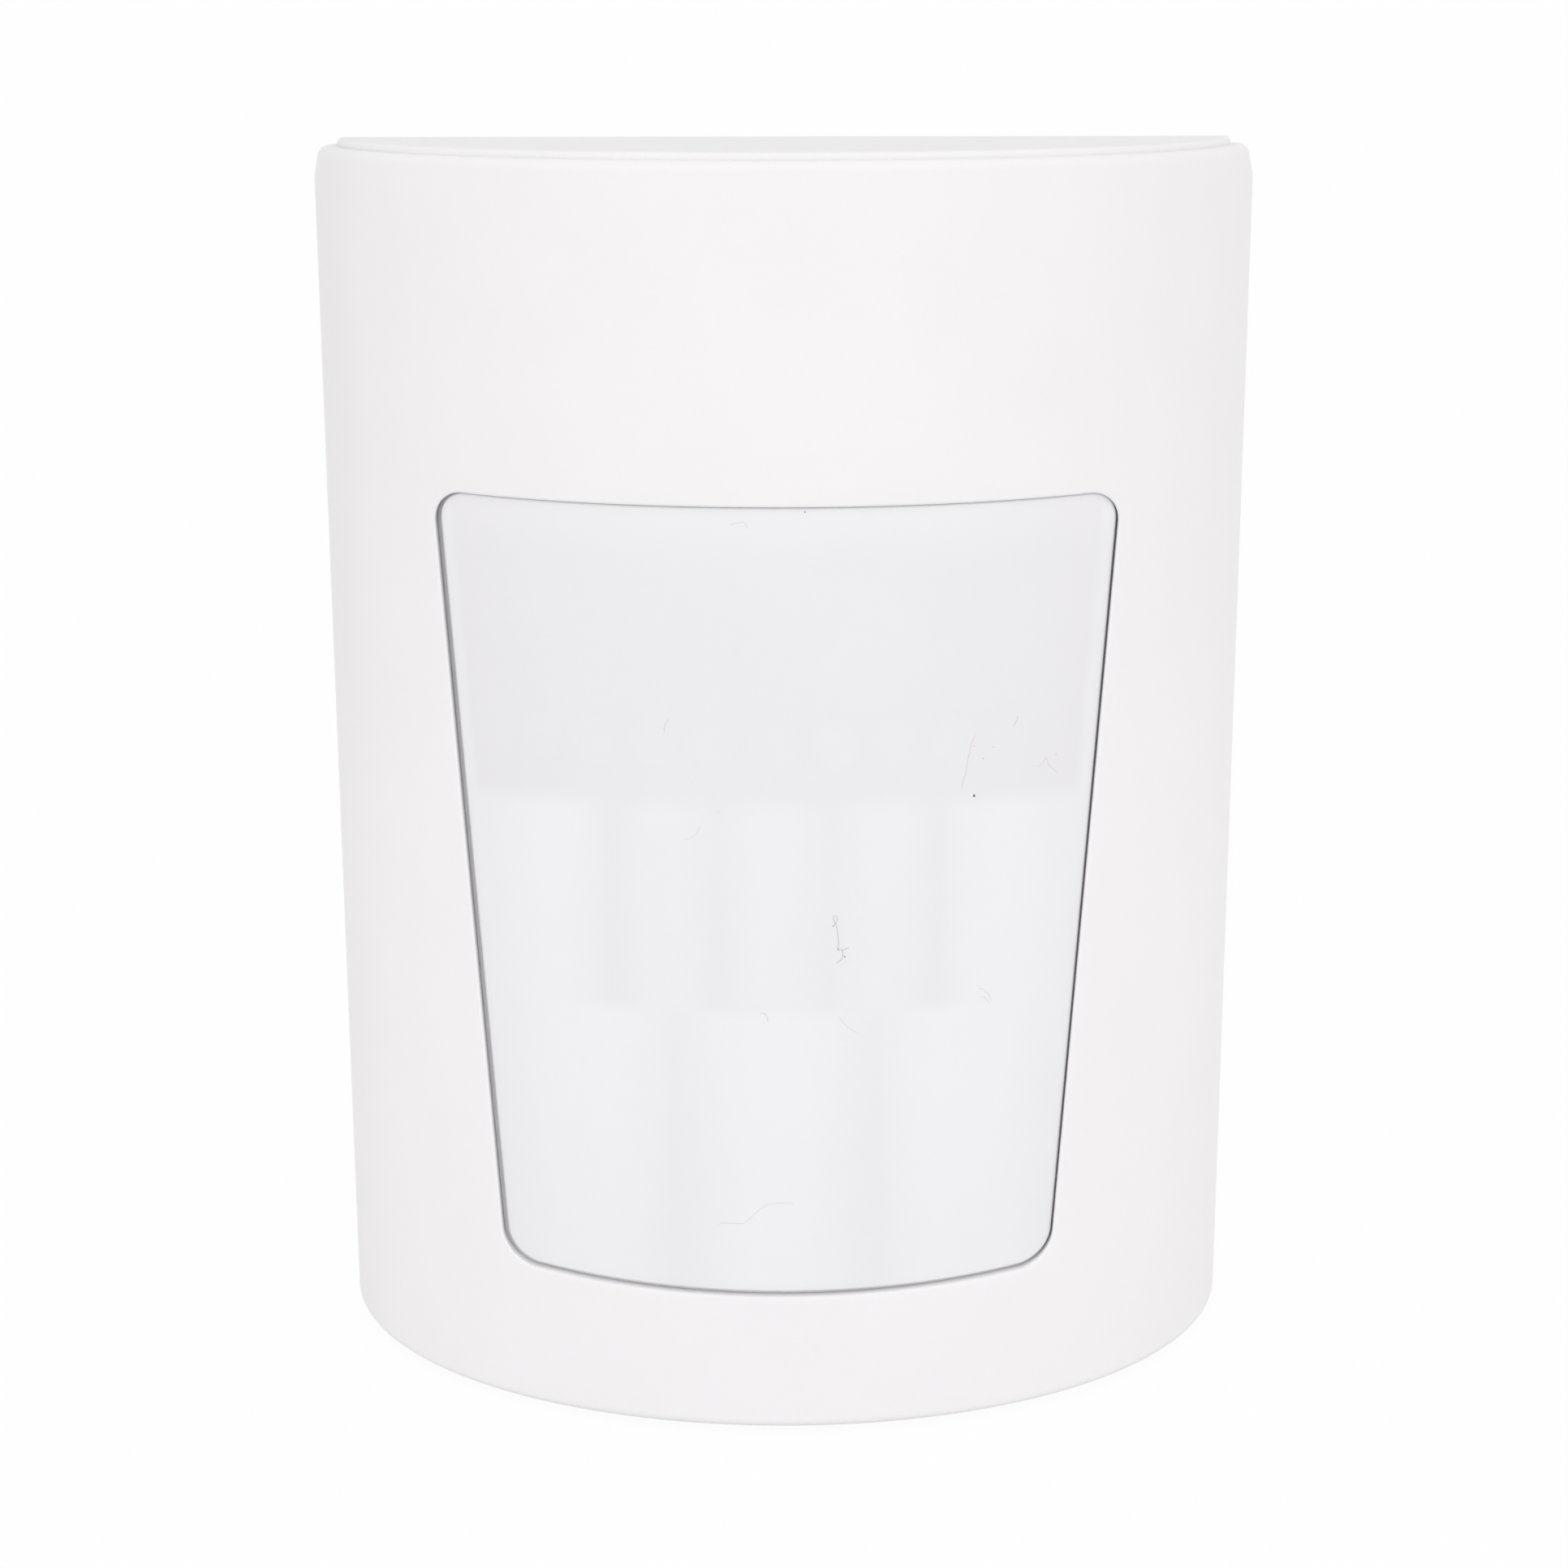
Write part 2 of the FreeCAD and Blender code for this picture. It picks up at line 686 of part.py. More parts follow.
def sensor_can():
    """Metal can with a rounded shoulder and a pocket for the filter."""
    profile = [(0, 0), (sensor_flange_radius, 0), (sensor_flange_radius, sensor_flange_height),
               (sensor_radius, sensor_flange_height), (sensor_radius, sensor_height - sensor_edge),
               (sensor_radius - sensor_edge, sensor_height), (0, sensor_height)]
    can = turned(0, sensor_up, board_front, profile)
    top = board_front - sensor_height
    return can.cut(centred_box(0, sensor_up, sensor_filter_width, sensor_filter_height, top - cut_margin,
                               top + sensor_filter_thickness))


def sensor_filter():
    """Rectangular filter that fills the can's pocket."""
    top = board_front - sensor_height
    gap = sensor_filter_clearance
    return centred_box(0, sensor_up, sensor_filter_width - 2 * gap, sensor_filter_height - 2 * gap, top,
                       top + sensor_filter_thickness)


def sensor_seal():
    """Soft ring round the can, with a lip that leans on its side."""
    inner = sensor_flange_radius + seal_clearance
    neck = sensor_radius + seal_clearance
    outer = inner + seal_wall
    shoulder = sensor_flange_height + seal_clearance
    profile = [(inner, 0), (outer, 0), (outer - seal_lip, seal_height), (neck, seal_height), (neck, shoulder),
               (inner, shoulder)]
    return turned(0, sensor_up, board_front, profile)


def gull_wing(side, along, place):
    """One bent lead of a chip: flat out of the body, down and out along the board."""
    x_body = chip_body_width / 2
    knee = x_body + chip_lead_reach - chip_lead_foot
    toe = x_body + chip_lead_reach
    level = chip_lift + chip_body_height / 2
    thick = chip_lead_thickness
    points = [(x_body, level), (knee, level), (knee, thick), (toe, thick), (toe, 0), (knee - thick, 0),
              (knee - thick, level - thick), (x_body, level - thick)]
    corners = [Vector(place[0] + side * x, board_front - up, 0) for x, up in points]
    lead = Part.Face(Part.makePolygon(corners + corners[:1])).extrude(Vector(0, 0, chip_lead_width))
    lead.translate(Vector(0, 0, place[1] + along - chip_lead_width / 2))
    return lead


def chip_leads(place, per_side):
    """Both rows of a chip's leads."""
    alongs = [(index - (per_side - 1) / 2) * chip_pitch for index in range(per_side)]
    return [gull_wing(side, along, place) for side in (-1, 1) for along in alongs]


def chip_body(place, per_side):
    """Chip body with bevelled sides and a dimple at its first lead."""
    length = (per_side - 1) * chip_pitch + 2 * chip_end
    back = board_front - chip_lift
    front = back - chip_body_height
    body = centred_box(place[0], place[1], chip_body_width, length, front, back)
    top_edges = [edge for edge in body.Edges if abs(edge.BoundBox.YMin - front) < 1e-4
                 and edge.BoundBox.YLength < 1e-4]
    body = body.makeChamfer(chip_body_height / 5, top_edges)
    dimple = rod(place[0] - chip_body_width / 2 + chip_end * 1.6, place[1] + length / 2 - chip_end * 1.6,
                 chip_end / 2, front - cut_margin, front + chip_lift)
    return body.cut(dimple)


def flat_parts(size, places):
    """Small surface-mounted bodies on the board."""
    width, length, thickness = size
    return [centred_box(across, up, width, length, board_front - thickness, board_front)
            for across, up in places]


def row_places(row, count):
    """Places of a row of parts and of a second row below it."""
    first, step = row
    return [(first + index * step, row_up - level * second_row_drop)
            for level in (0, 1) for index in range(count)]


def terminal_places():
    """Across place of each terminal."""
    first = terminal_across - (terminal_count - 1) / 2 * terminal_pitch
    return [first + index * terminal_pitch for index in range(terminal_count)]


terminal_entry_low = terminal_up + terminal_back_wall
entry_back = board_front - terminal_floor
entry_front = entry_back - terminal_entry_height


def terminal_block():
    """Moulded block: a wire entry from above and a screw hole from the front at each terminal."""
    half = terminal_count * terminal_pitch / 2
    front = board_front - terminal_body_height
    body = box(terminal_across - half, terminal_across + half, front, board_front, terminal_up, terminal_top)
    edge = [edge for edge in body.Edges if abs(edge.BoundBox.YMax - front) < 1e-4
            and abs(edge.BoundBox.ZMin - terminal_top) < 1e-4]
    body = body.makeChamfer(terminal_body_height / 5, edge)
    cuts = []
    for across in terminal_places():
        middle = clamp_middle()
        cuts.append(box(across - terminal_entry_width / 2, across + terminal_entry_width / 2, entry_front,
                        entry_back, terminal_entry_low, terminal_top + cut_margin))
        cuts.append(rod(across, middle, terminal_screw_hole_radius, entry_front + cut_margin,
                        front - cut_margin))
        gap = lead_hole_clearance
        cuts.append(centred_box(across, middle, terminal_pin_width + 2 * gap, terminal_pin_thickness + 2 * gap,
                                entry_back - cut_margin, board_front + cut_margin))
    return body.cut(cuts[0].multiFuse(cuts[1:]))


def clamp_middle():
    """Height of the middle of a clamp, set back from the mouth of its entry."""
    return (terminal_entry_low + terminal_top - terminal_clamp_setback) / 2


def terminal_clamp(across):
    """Square metal cage with a threaded hole for its screw."""
    gap = terminal_clamp_clearance
    half = terminal_entry_width / 2 - gap
    low = terminal_entry_low + gap
    high = terminal_top - terminal_clamp_setback
    cage = box(across - half, across + half, entry_front + gap, entry_back - gap, low, high)
    inner = half - terminal_clamp_wall
    wall = terminal_clamp_wall + gap
    space = box(across - inner, across + inner, entry_front + wall, entry_back - wall, low - cut_margin,
                high + cut_margin)
    hole = rod(across, clamp_middle(), terminal_screw_radius + screw_clearance, entry_front + 2 * wall,
               entry_front - cut_margin)
    return cage.cut(space.fuse(hole))


def terminal_screw(across):
    """Clamp screw with a slotted head, in the block's screw hole."""
    seat = entry_front - terminal_clamp_clearance
    front = seat - terminal_screw_head_height
    head = rod(across, clamp_middle(), terminal_screw_head_radius, seat, front)
    shank = rod(across, clamp_middle(), terminal_screw_radius, seat, entry_front + terminal_screw_reach)
    return slotted(fuse(head, [shank]), across, clamp_middle(), front)


def terminal_pin(across):
    """Flat solder pin from the clamp down through the board."""
    return centred_box(across, clamp_middle(), terminal_pin_width, terminal_pin_thickness,
                       entry_back - terminal_clamp_clearance, board_back + lead_below_board)


tamper_front = board_front - tamper_body_height
tamper_tip = tamper_front - tamper_button_out
tamper_post_end = tamper_tip - tamper_post_gap
tamper_inner_end = tamper_tip + tamper_button_length


def tamper_switch():
    """Switch body with the bore that its button runs in."""
    body = centred_box(tamper_across, tamper_up, tamper_body, tamper_body, tamper_front, board_front)
    upright = [edge for edge in body.Edges if edge.BoundBox.YLength > tamper_body_height / 2]
    body = body.makeFillet(tamper_body / 12, upright)
    bore_end = tamper_inner_end + tamper_travel_in + tamper_bore_end_gap
    return body.cut(rod(tamper_across, tamper_up, tamper_button_radius + tamper_button_clearance, bore_end,
                        tamper_front - cut_margin))


def tamper_button():
    """Button of the switch, held pressed by the cover's post."""
    return rod(tamper_across, tamper_up, tamper_button_radius, tamper_inner_end, tamper_tip)


def tamper_pins():
    """Four solder pins of the switch."""
    half = tamper_pin_spacing / 2
    return [round_lead(tamper_across + x * half, tamper_up + z * half, lamp_lead_radius, board_front)
            for x in (-1, 1) for z in (-1, 1)]


def relay_case():
    """Sealed relay with rounded edges."""
    front = board_front - relay_height
    body = centred_box(relay_across, relay_up, relay_length, relay_width, front, board_front)
    edges = [edge for edge in body.Edges if abs(edge.BoundBox.YMax - board_front) > 1e-4
             or edge.BoundBox.YLength > 1]
    return body.makeFillet(relay_rounding, edges)


def relay_pins():
    """Two rows of relay pins."""
    half = relay_pin_spacing / 2
    return [round_lead(relay_across + x, relay_up + side * half, lamp_lead_radius, board_front)
            for x in relay_pin_rows for side in (-1, 1)]


def capacitor(place, size):
    """Electrolytic capacitor: sleeved can with its crimp groove."""
    radius, height = size
    bevel = capacitor_groove
    neck = radius - bevel
    crimp = capacitor_crimp_height
    profile = [(0, 0), (neck, 0), (radius, bevel), (radius, crimp - bevel), (neck, crimp),
               (radius, crimp + bevel), (radius, height - bevel), (neck, height), (0, height)]
    return turned(place[0], place[1], board_front, profile)


def capacitor_leads():
    """Two leads under each capacitor."""
    half = capacitor_lead_spacing / 2
    return [round_lead(place[0] + side * half, place[1], capacitor_lead_radius, board_front)
            for place in (large_capacitor_place, small_capacitor_place) for side in (-1, 1)]


def indicator_lamp():
    """Small lamp with a flange and a domed end."""
    profile = [(0, 0), (lamp_flange_radius, 0), (lamp_flange_radius, lamp_flange_height),
               (lamp_radius, lamp_flange_height), (lamp_radius, lamp_height)]
    points = [Vector(radius, 0, height) for radius, height in profile]
    dome_height = lamp_height + lamp_radius
    middle = Vector(lamp_radius * math.sqrt(0.5), 0, lamp_height + lamp_radius * math.sqrt(0.5))
    dome = Part.Arc(points[-1], middle, Vector(0, 0, dome_height)).toShape()
    lines = [Part.makeLine(start, end) for start, end in zip(points, points[1:])]
    closing = Part.makeLine(Vector(0, 0, dome_height), points[0])
    solid = Part.Face(Part.Wire(lines + [dome, closing])).revolve(Vector(), Vector(0, 0, 1), 360)
    solid.rotate(Vector(), Vector(1, 0, 0), 90)
    solid.translate(Vector(lamp_across, board_front, lamp_up))
    return solid


def lamp_leads():
    """Two leads of the lamp."""
    return [round_lead(lamp_across + side * lamp_lead_spacing, lamp_up, lamp_lead_radius, board_front)
            for side in (-1, 1)]


def header_places():
    """Across place of each header pin."""
    first = header_across - (header_pin_count - 1) / 2 * header_pitch
    return [first + index * header_pitch for index in range(header_pin_count)]


def jumper_pins():
    """Square pins of the settings header."""
    return [centred_box(across, header_up, header_pin_width, header_pin_width, board_front - header_pin_height,
                        board_back + lead_below_board) for across in header_places()]


def jumper_base():
    """Plastic strip round the pins."""
    width = header_pin_count * header_pitch
    strip = centred_box(header_across, header_up, width, header_base_width, board_front - header_base_height,
                        board_front)
    hole = header_pin_width + 2 * cap_hole_clearance
    cuts = [centred_box(across, header_up, hole, hole, -reach, board_front + cut_margin)
            for across in header_places()]
    return strip.cut(cuts[0].multiFuse(cuts[1:]))


def jumper_cap():
    """Push-on link over the first two pins."""
    back = board_front - header_base_height - cap_wall_clearance
    pins = header_places()[:2]
    middle = sum(pins) / 2
    length = 2 * (header_pitch - cap_end_gap)
    cap = centred_box(middle, header_up, length, cap_width, back - cap_height, back)
    hole = header_pin_width + 2 * cap_hole_clearance
    cuts = [centred_box(across, header_up, hole, hole, -reach, back + cut_margin) for across in pins]
    return cap.cut(cuts[0].fuse(cuts[1]))


def circuit_board():
    """Board with a hole for each lead, screw and pin."""
    board = box(-board_width / 2, board_width / 2, board_front, board_back, board_foot, board_top)
    corners = [edge for edge in board.Edges if edge.BoundBox.YLength > board_thickness / 2]
    board = board.makeFillet(board_corner, corners)
    screws, pins = board_places()
    cuts = [rod(across, up, board_screw_radius + board_hole_clearance, 0, -reach) for across, up in screws]
    cuts += [rod(across, up, locating_pin_radius + board_hole_clearance, 0, -reach) for across, up in pins]
    for lead in sensor_pins() + relay_pins() + tamper_pins() + capacitor_leads() + lamp_leads():
        centre = lead.BoundBox.Center
        cuts.append(rod(centre.x, centre.z, lead.BoundBox.XLength / 2 + lead_hole_clearance, 0, -reach))
    for lead in [terminal_pin(across) for across in terminal_places()] + jumper_pins():
        centre = lead.BoundBox.Center
        half_diagonal = math.hypot(lead.BoundBox.XLength, lead.BoundBox.ZLength) / 2
        cuts.append(rod(centre.x, centre.z, half_diagonal + lead_hole_clearance / 2, 0, -reach))
    return board.cut(cuts[0].multiFuse(cuts[1:]))


nodes = {
    "front_cover": front_cover(),
    "fresnel_lens": fresnel_lens(),
    "lens_retainer": lens_retainer(),
    "rear_case": rear_case(),
    "cover_screw": cover_screw(),
    "circuit_board": circuit_board(),
    "board_screws": [board_screw(across, up) for across, up in board_places()[0]],
    "sensor_can": sensor_can(),
    "sensor_filter": sensor_filter(),
    "sensor_pins": sensor_pins(),
    "sensor_seal": sensor_seal(),
    "microcontroller": chip_body(microcontroller_place, microcontroller_side_lead_count),
    "microcontroller_leads": chip_leads(microcontroller_place, microcontroller_side_lead_count),
    "amplifier": chip_body(amplifier_place, amplifier_side_lead_count),
    "amplifier_leads": chip_leads(amplifier_place, amplifier_side_lead_count),
    "voltage_regulator": flat_parts(regulator_body, [regulator_place]),
    "relay_case": relay_case(),
    "relay_pins": relay_pins(),
    "terminal_block": terminal_block(),
    "terminal_clamps": [terminal_clamp(across) for across in terminal_places()],
    "terminal_screws": [terminal_screw(across) for across in terminal_places()],
    "terminal_pins": [terminal_pin(across) for across in terminal_places()],
    "tamper_switch": tamper_switch(),
    "tamper_button": tamper_button(),
    "tamper_pins": tamper_pins(),
    "large_capacitor": capacitor(large_capacitor_place, large_capacitor_size),
    "small_capacitor": capacitor(small_capacitor_place, small_capacitor_size),
    "capacitor_leads": capacitor_leads(),
    "indicator_lamp": indicator_lamp(),
    "lamp_leads": lamp_leads(),
    "jumper_base": jumper_base(),
    "jumper_pins": jumper_pins(),
    "jumper_cap": jumper_cap(),
    "chip_resistors": flat_parts(resistor_body, row_places(resistor_row, resistor_row_count)),
    "chip_capacitors": flat_parts(ceramic_body, row_places(ceramic_row, ceramic_row_count)),
    "diodes": flat_parts(diode_body, diode_places),
}

os.makedirs("parts", exist_ok=True)
for name, made in nodes.items():
    solids = made if isinstance(made, list) else [made]
    shape = Part.makeCompound([solid for piece in solids for solid in piece.Solids])
    shape.exportStep("parts/" + name + ".step")
    state = "valid" if shape.isValid() else "INVALID"
    print(name, len(shape.Solids), "solids", round(shape.Volume, 2), "mm3", state)
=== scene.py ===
# %% [markdown]
# # A wall motion detector, dressed for its picture
# The real object is a small half-round box of satin white plastic on a wall. A milky lens fills a window in
# its front, and behind the lens a sensor watches a room for warmth that moves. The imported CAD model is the
# frame: every solid piece is there at its true size. Here the two pieces that the eye meets first, the cover
# and the lens, get finer meshes with softened edges, and every piece gets its finish.

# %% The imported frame
import bpy
import bmesh
import json
import math
from mathutils import Matrix, Vector


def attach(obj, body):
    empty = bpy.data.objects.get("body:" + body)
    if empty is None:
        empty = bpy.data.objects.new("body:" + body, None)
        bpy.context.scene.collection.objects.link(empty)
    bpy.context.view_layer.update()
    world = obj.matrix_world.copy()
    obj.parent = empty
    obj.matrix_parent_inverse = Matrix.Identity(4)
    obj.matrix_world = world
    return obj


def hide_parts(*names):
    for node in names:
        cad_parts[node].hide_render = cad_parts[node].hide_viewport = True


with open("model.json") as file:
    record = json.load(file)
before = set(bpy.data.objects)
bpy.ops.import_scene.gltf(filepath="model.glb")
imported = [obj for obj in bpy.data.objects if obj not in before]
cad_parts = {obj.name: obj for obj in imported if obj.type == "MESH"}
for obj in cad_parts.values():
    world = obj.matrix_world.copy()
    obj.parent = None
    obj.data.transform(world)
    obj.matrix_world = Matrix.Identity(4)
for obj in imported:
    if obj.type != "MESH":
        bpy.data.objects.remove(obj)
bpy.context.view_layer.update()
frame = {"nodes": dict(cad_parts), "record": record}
nodes = frame["nodes"]
MM = 0.001

# %% [markdown]
# ## Sizes
# The new meshes have to lie where the solids lie, so the sizes that shape the cover and the lens are repeated
# here from the solid model. They are in metres, in the same frame: the wall is the plane y = 0, the lens
# looks towards -Y and +Z is up. Only edges and gaps are finer than in the solids, by tenths of a millimetre:
# the rims are rounder, above all at the upper two corners, and the lens lies a little closer in its window,
# with a low bead round it that closes the gap.

# %% Sizes of the cover, window and lens
HALF_HEIGHT = 44.4 * MM
RADIUS_TOP = 35.0 * MM
RADIUS_BOTTOM = 33.8 * MM
AXIS = 1.75 * MM
WALL = 1.6 * MM
RIM_ROUNDING = 0.6 * MM
INNER_EDGE = 0.015 * MM
RIM_LIP = 0.135 * MM
CORNER_LEAN = 0.6 * MM
CORNER_DROP = 2.4 * MM
LIP = 0.25 * MM

WINDOW_TOP = 21.4 * MM
WINDOW_BOTTOM = -34.06 * MM
WINDOW_BOW = 0.55 * MM
WINDOW_MARGIN_TOP = 10.67 * MM
WINDOW_MARGIN_BOTTOM = 14.35 * MM
CORNER_TOP = 2.1 * MM
CORNER_BOTTOM = 2.6 * MM

LENS_GAP = 0.26 * MM
LENS_SHIFT = (0.13 * MM, 0.12 * MM)
LENS_TALLER = 1.0034
LENS_RECESS = 0.40 * MM
LENS_SHEET = 0.6 * MM
LENS_SKIRT = 0.7 * MM
LENS_EDGE = 0.2 * MM
BEAD_FACE = 0.97 * MM
BEAD_GAP = 0.02 * MM
FLANGE_FACE = 1.7 * MM
FLANGE_BACK = 2.4 * MM
FLANGE_WIDTH = 1.7 * MM
ROW_EDGES = (0.8 * MM, -14.0 * MM)


def drum_radius(z):
    """Radius of the cover's outside at a height."""
    return RADIUS_BOTTOM + (RADIUS_TOP - RADIUS_BOTTOM) * (z + HALF_HEIGHT) / (2 * HALF_HEIGHT)


HALF_WIDTH_TOP = drum_radius(WINDOW_TOP) - WINDOW_MARGIN_TOP
HALF_WIDTH_BOTTOM = drum_radius(WINDOW_BOTTOM) - WINDOW_MARGIN_BOTTOM
print("window half widths in mm:", round(HALF_WIDTH_TOP / MM, 2), round(HALF_WIDTH_BOTTOM / MM, 2))

# %% [markdown]
# ## The window's outline
# The window is a trapezium that narrows downwards, with round corners and a lower edge that sags a little.
# It starts as one flat face from four corners. A bevel of its corner vertices rounds them, the long edges are
# divided so that they can follow the drum, and the sag moves the lower points down. The points, read round
# the face, are the path that the cover's and the lens's rings follow, and a ring that is larger or smaller
# moves each point along the outline's normal, which keeps the gap even.

# %% Outline of the window
CORNER_STEPS = 24
LONG_STEPS = 84
LONG_EDGE = 10 * MM


def window_outline():
    """Points (x, z) round the window, anticlockwise from the front, from its lower left corner."""
    bm = bmesh.new()
    corners = [(-HALF_WIDTH_BOTTOM, WINDOW_BOTTOM), (HALF_WIDTH_BOTTOM, WINDOW_BOTTOM),
               (HALF_WIDTH_TOP, WINDOW_TOP), (-HALF_WIDTH_TOP, WINDOW_TOP)]
    verts = [bm.verts.new((x, 0, z)) for x, z in corners]
    bm.faces.new(verts)
    slope = math.atan2(HALF_WIDTH_TOP - HALF_WIDTH_BOTTOM, WINDOW_TOP - WINDOW_BOTTOM)
    for pair, radius, turn in ((verts[:2], CORNER_BOTTOM, math.pi / 2 + slope),
                               (verts[2:], CORNER_TOP, math.pi / 2 - slope)):
        bmesh.ops.bevel(bm, geom=pair, offset=radius / math.tan(turn / 2), offset_type="OFFSET",
                        segments=CORNER_STEPS, profile=0.5, affect="VERTICES", material=-1)
    long_edges = [edge for edge in bm.edges if edge.calc_length() > LONG_EDGE]
    bmesh.ops.subdivide_edges(bm, edges=long_edges, cuts=LONG_STEPS - 1)
    flat_half = HALF_WIDTH_BOTTOM - CORNER_BOTTOM / 2
    for vert in bm.verts:
        if vert.co.z < WINDOW_BOTTOM + CORNER_BOTTOM:
            depth = 1 - (vert.co.z - WINDOW_BOTTOM) / CORNER_BOTTOM
            vert.co.z -= WINDOW_BOW * depth * max(0, 1 - (vert.co.x / flat_half) ** 2)
    bm.faces.ensure_lookup_table()
    path = [(vert.co.x, vert.co.z) for vert in bm.faces[0].verts]
    bm.free()
    area = sum(a[0] * b[1] - b[0] * a[1] for a, b in zip(path, path[1:] + path[:1]))
    if area < 0:
        path.reverse()
    middle = (-HALF_WIDTH_BOTTOM, WINDOW_BOTTOM)
    first = min(range(len(path)), key=lambda i: math.dist(path[i], middle))
    return path[first:] + path[:first]


OUTLINE = window_outline()
COUNT = len(OUTLINE)
print("the outline has", COUNT, "points")


def outline_normals():
    """Outward normal at each point of the outline."""
    normals = []
    for index in range(COUNT):
        before = OUTLINE[index - 1]
        after = OUTLINE[(index + 1) % COUNT]
        along = Vector((after[0] - before[0], after[1] - before[1])).normalized()
        normals.append((along.y, -along.x))
    return normals


NORMALS = outline_normals()


def grown(grow, shift=(0, 0)):
    """The outline made larger all round."""
    return [(x + grow * nx + shift[0], z + grow * nz + shift[1])
            for (x, z), (nx, nz) in zip(OUTLINE, NORMALS)]


# %% [markdown]
# ## Laying points on the drum
# Every surface of the cover and the lens is part of a slightly tapered drum, only more or less deep. Two
# helpers lay a point on it. One takes a place seen from the front, for the window's edges, because the
# moulding's walls run straight back there. The other takes shares of the half turn and of the height, for the
# open skin that has to end exactly at the wall and at the rims.

# %% Points on the drum
def from_front(x, z, inset):
    """Point of the drum at a depth under the skin, at a place seen from the front."""
    radius = drum_radius(z) - inset
    return Vector((x, AXIS - math.sqrt(radius * radius - x * x), z))


def from_shares(u, v, span, inset):
    """Point of the drum at shares of the half turn and of the height between two heights."""
    z = span[0] + (v + 1) / 2 * (span[1] - span[0])
    radius = drum_radius(z) - inset
    angle = u * math.acos(AXIS / radius)
    return Vector((radius * math.sin(angle), AXIS - radius * math.cos(angle), z))


def shares_of(x, z, span, inset):
    """Shares of the half turn and of the height at a place seen from the front."""
    radius = drum_radius(z) - inset
    return math.asin(x / radius) / math.acos(AXIS / radius), 2 * (z - span[0]) / (span[1] - span[0]) - 1


def border_shares():
    """Shares of the skin's own border, one for each point of the outline."""
    side = COUNT // 4
    corners = [(-1, -1), (1, -1), (1, 1), (-1, 1)]
    shares = []
    for index in range(COUNT):
        start = corners[index // side]
        end = corners[(index // side + 1) % 4]
        part = (index % side) / side
        shares.append((start[0] + (end[0] - start[0]) * part, start[1] + (end[1] - start[1]) * part))
    return shares


BORDER = border_shares()
print("radius of the cover at the window's top and bottom in mm:",
      round(drum_radius(WINDOW_TOP) / MM, 2), round(drum_radius(WINDOW_BOTTOM) / MM, 2))

# %% [markdown]
# ## Rings
# The skin is built like a knitted sleeve: a ring of edges is extruded, and the new ring is laid in its place.
# Extruding keeps every ring joined to the one before, so the chain can run from the window's inner edge over
# the lip, across the skin, round the rim and back inside, and close on its first ring. A finished chain
# becomes a piece: its faces are turned outwards, and only the edges that are really sharp stay sharp.

# %% Growing a surface ring by ring
def first_ring(bm, points):
    """A closed ring of edges through the points."""
    verts = [bm.verts.new(point) for point in points]
    return verts, [bm.edges.new((verts[i - 1], verts[i])) for i in range(len(verts))]


def next_ring(bm, ring, points):
    """Extrude the ring's edges and lay the new ring on the points."""
    verts, edges = ring
    made = bmesh.ops.extrude_edge_only(bm, edges=edges)["geom"]
    fresh = {item for item in made if isinstance(item, bmesh.types.BMVert)}
    follow = []
    for vert, point in zip(verts, points):
        new = next(edge.other_vert(vert) for edge in vert.link_edges if edge.other_vert(vert) in fresh)
        new.co = point
        follow.append(new)
    follow_set = set(follow)
    edges = [edge for edge in made if isinstance(edge, bmesh.types.BMEdge)
             and edge.verts[0] in follow_set and edge.verts[1] in follow_set]
    return follow, edges


def piece_from(bm, name, body, replaced, smooth_below=35):
    """Turn a bmesh into a named piece that rides on its body and stands for a CAD node."""
    bmesh.ops.recalc_face_normals(bm, faces=bm.faces)
    for face in bm.faces:
        face.smooth = True
    for edge in bm.edges:
        edge.smooth = len(edge.link_faces) == 2 and edge.calc_face_angle(0) < math.radians(smooth_below)
    mesh = bpy.data.meshes.new(name)
    bm.to_mesh(mesh)
    bm.free()
    piece = bpy.data.objects.new(name, mesh)
    bpy.context.scene.collection.objects.link(piece)
    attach(piece, body)
    if replaced:
        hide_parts(*replaced)
    print(name, "has", len(mesh.polygons), "faces")
    return piece


# %% [markdown]
# ## The cover
# The real cover is one moulding: a half drum that tapers downwards, open at the top and bottom, with the
# window in its front. Its rims and the window's lip are rounded, because plastic doesn't fill a sharp edge.
# The chain of rings starts on the window's wall, turns over the lip, spreads over the skin to a border with
# true corners, rounds the rim, crosses the flat end and returns along the inside. At the wall the upper
# corners lean in a little more, which gives the outline its soft shoulders.

# %% The cover's skin
LIP_STEPS = 5
SKIN_STEPS = 26
RIM_STEPS = 6
INSIDE_STEPS = 10
WALL_STEPS = (0.66, 0.33)
LIP_LEAN_SHARE = 0.02
LEAN_POWERS = (4, 1.3)
SKIN_CROWDING = 1.5
SKIN_SPAN = (RIM_ROUNDING - HALF_HEIGHT, HALF_HEIGHT - RIM_ROUNDING)


def corner_lean(u, z):
    """How far the skin leans in under the top rim's two ends, which are rounder than its middle."""
    near_rim = max(0, z - (HALF_HEIGHT - CORNER_DROP)) / CORNER_DROP
    return CORNER_LEAN * u ** LEAN_POWERS[0] * near_rim ** LEAN_POWERS[1]


def skin_point(u, v, span, inset):
    """Point of the outside at shares of the half turn and of the height."""
    return from_shares(u, v, span, inset + corner_lean(u, span[0] + (v + 1) / 2 * (span[1] - span[0])))


def skin_between(start, end, share, span, inset, lay=from_shares):
    """Ring between two rings of shares."""
    return [lay(a[0] + (b[0] - a[0]) * share, a[1] + (b[1] - a[1]) * share, span, inset)
            for a, b in zip(start, end)]


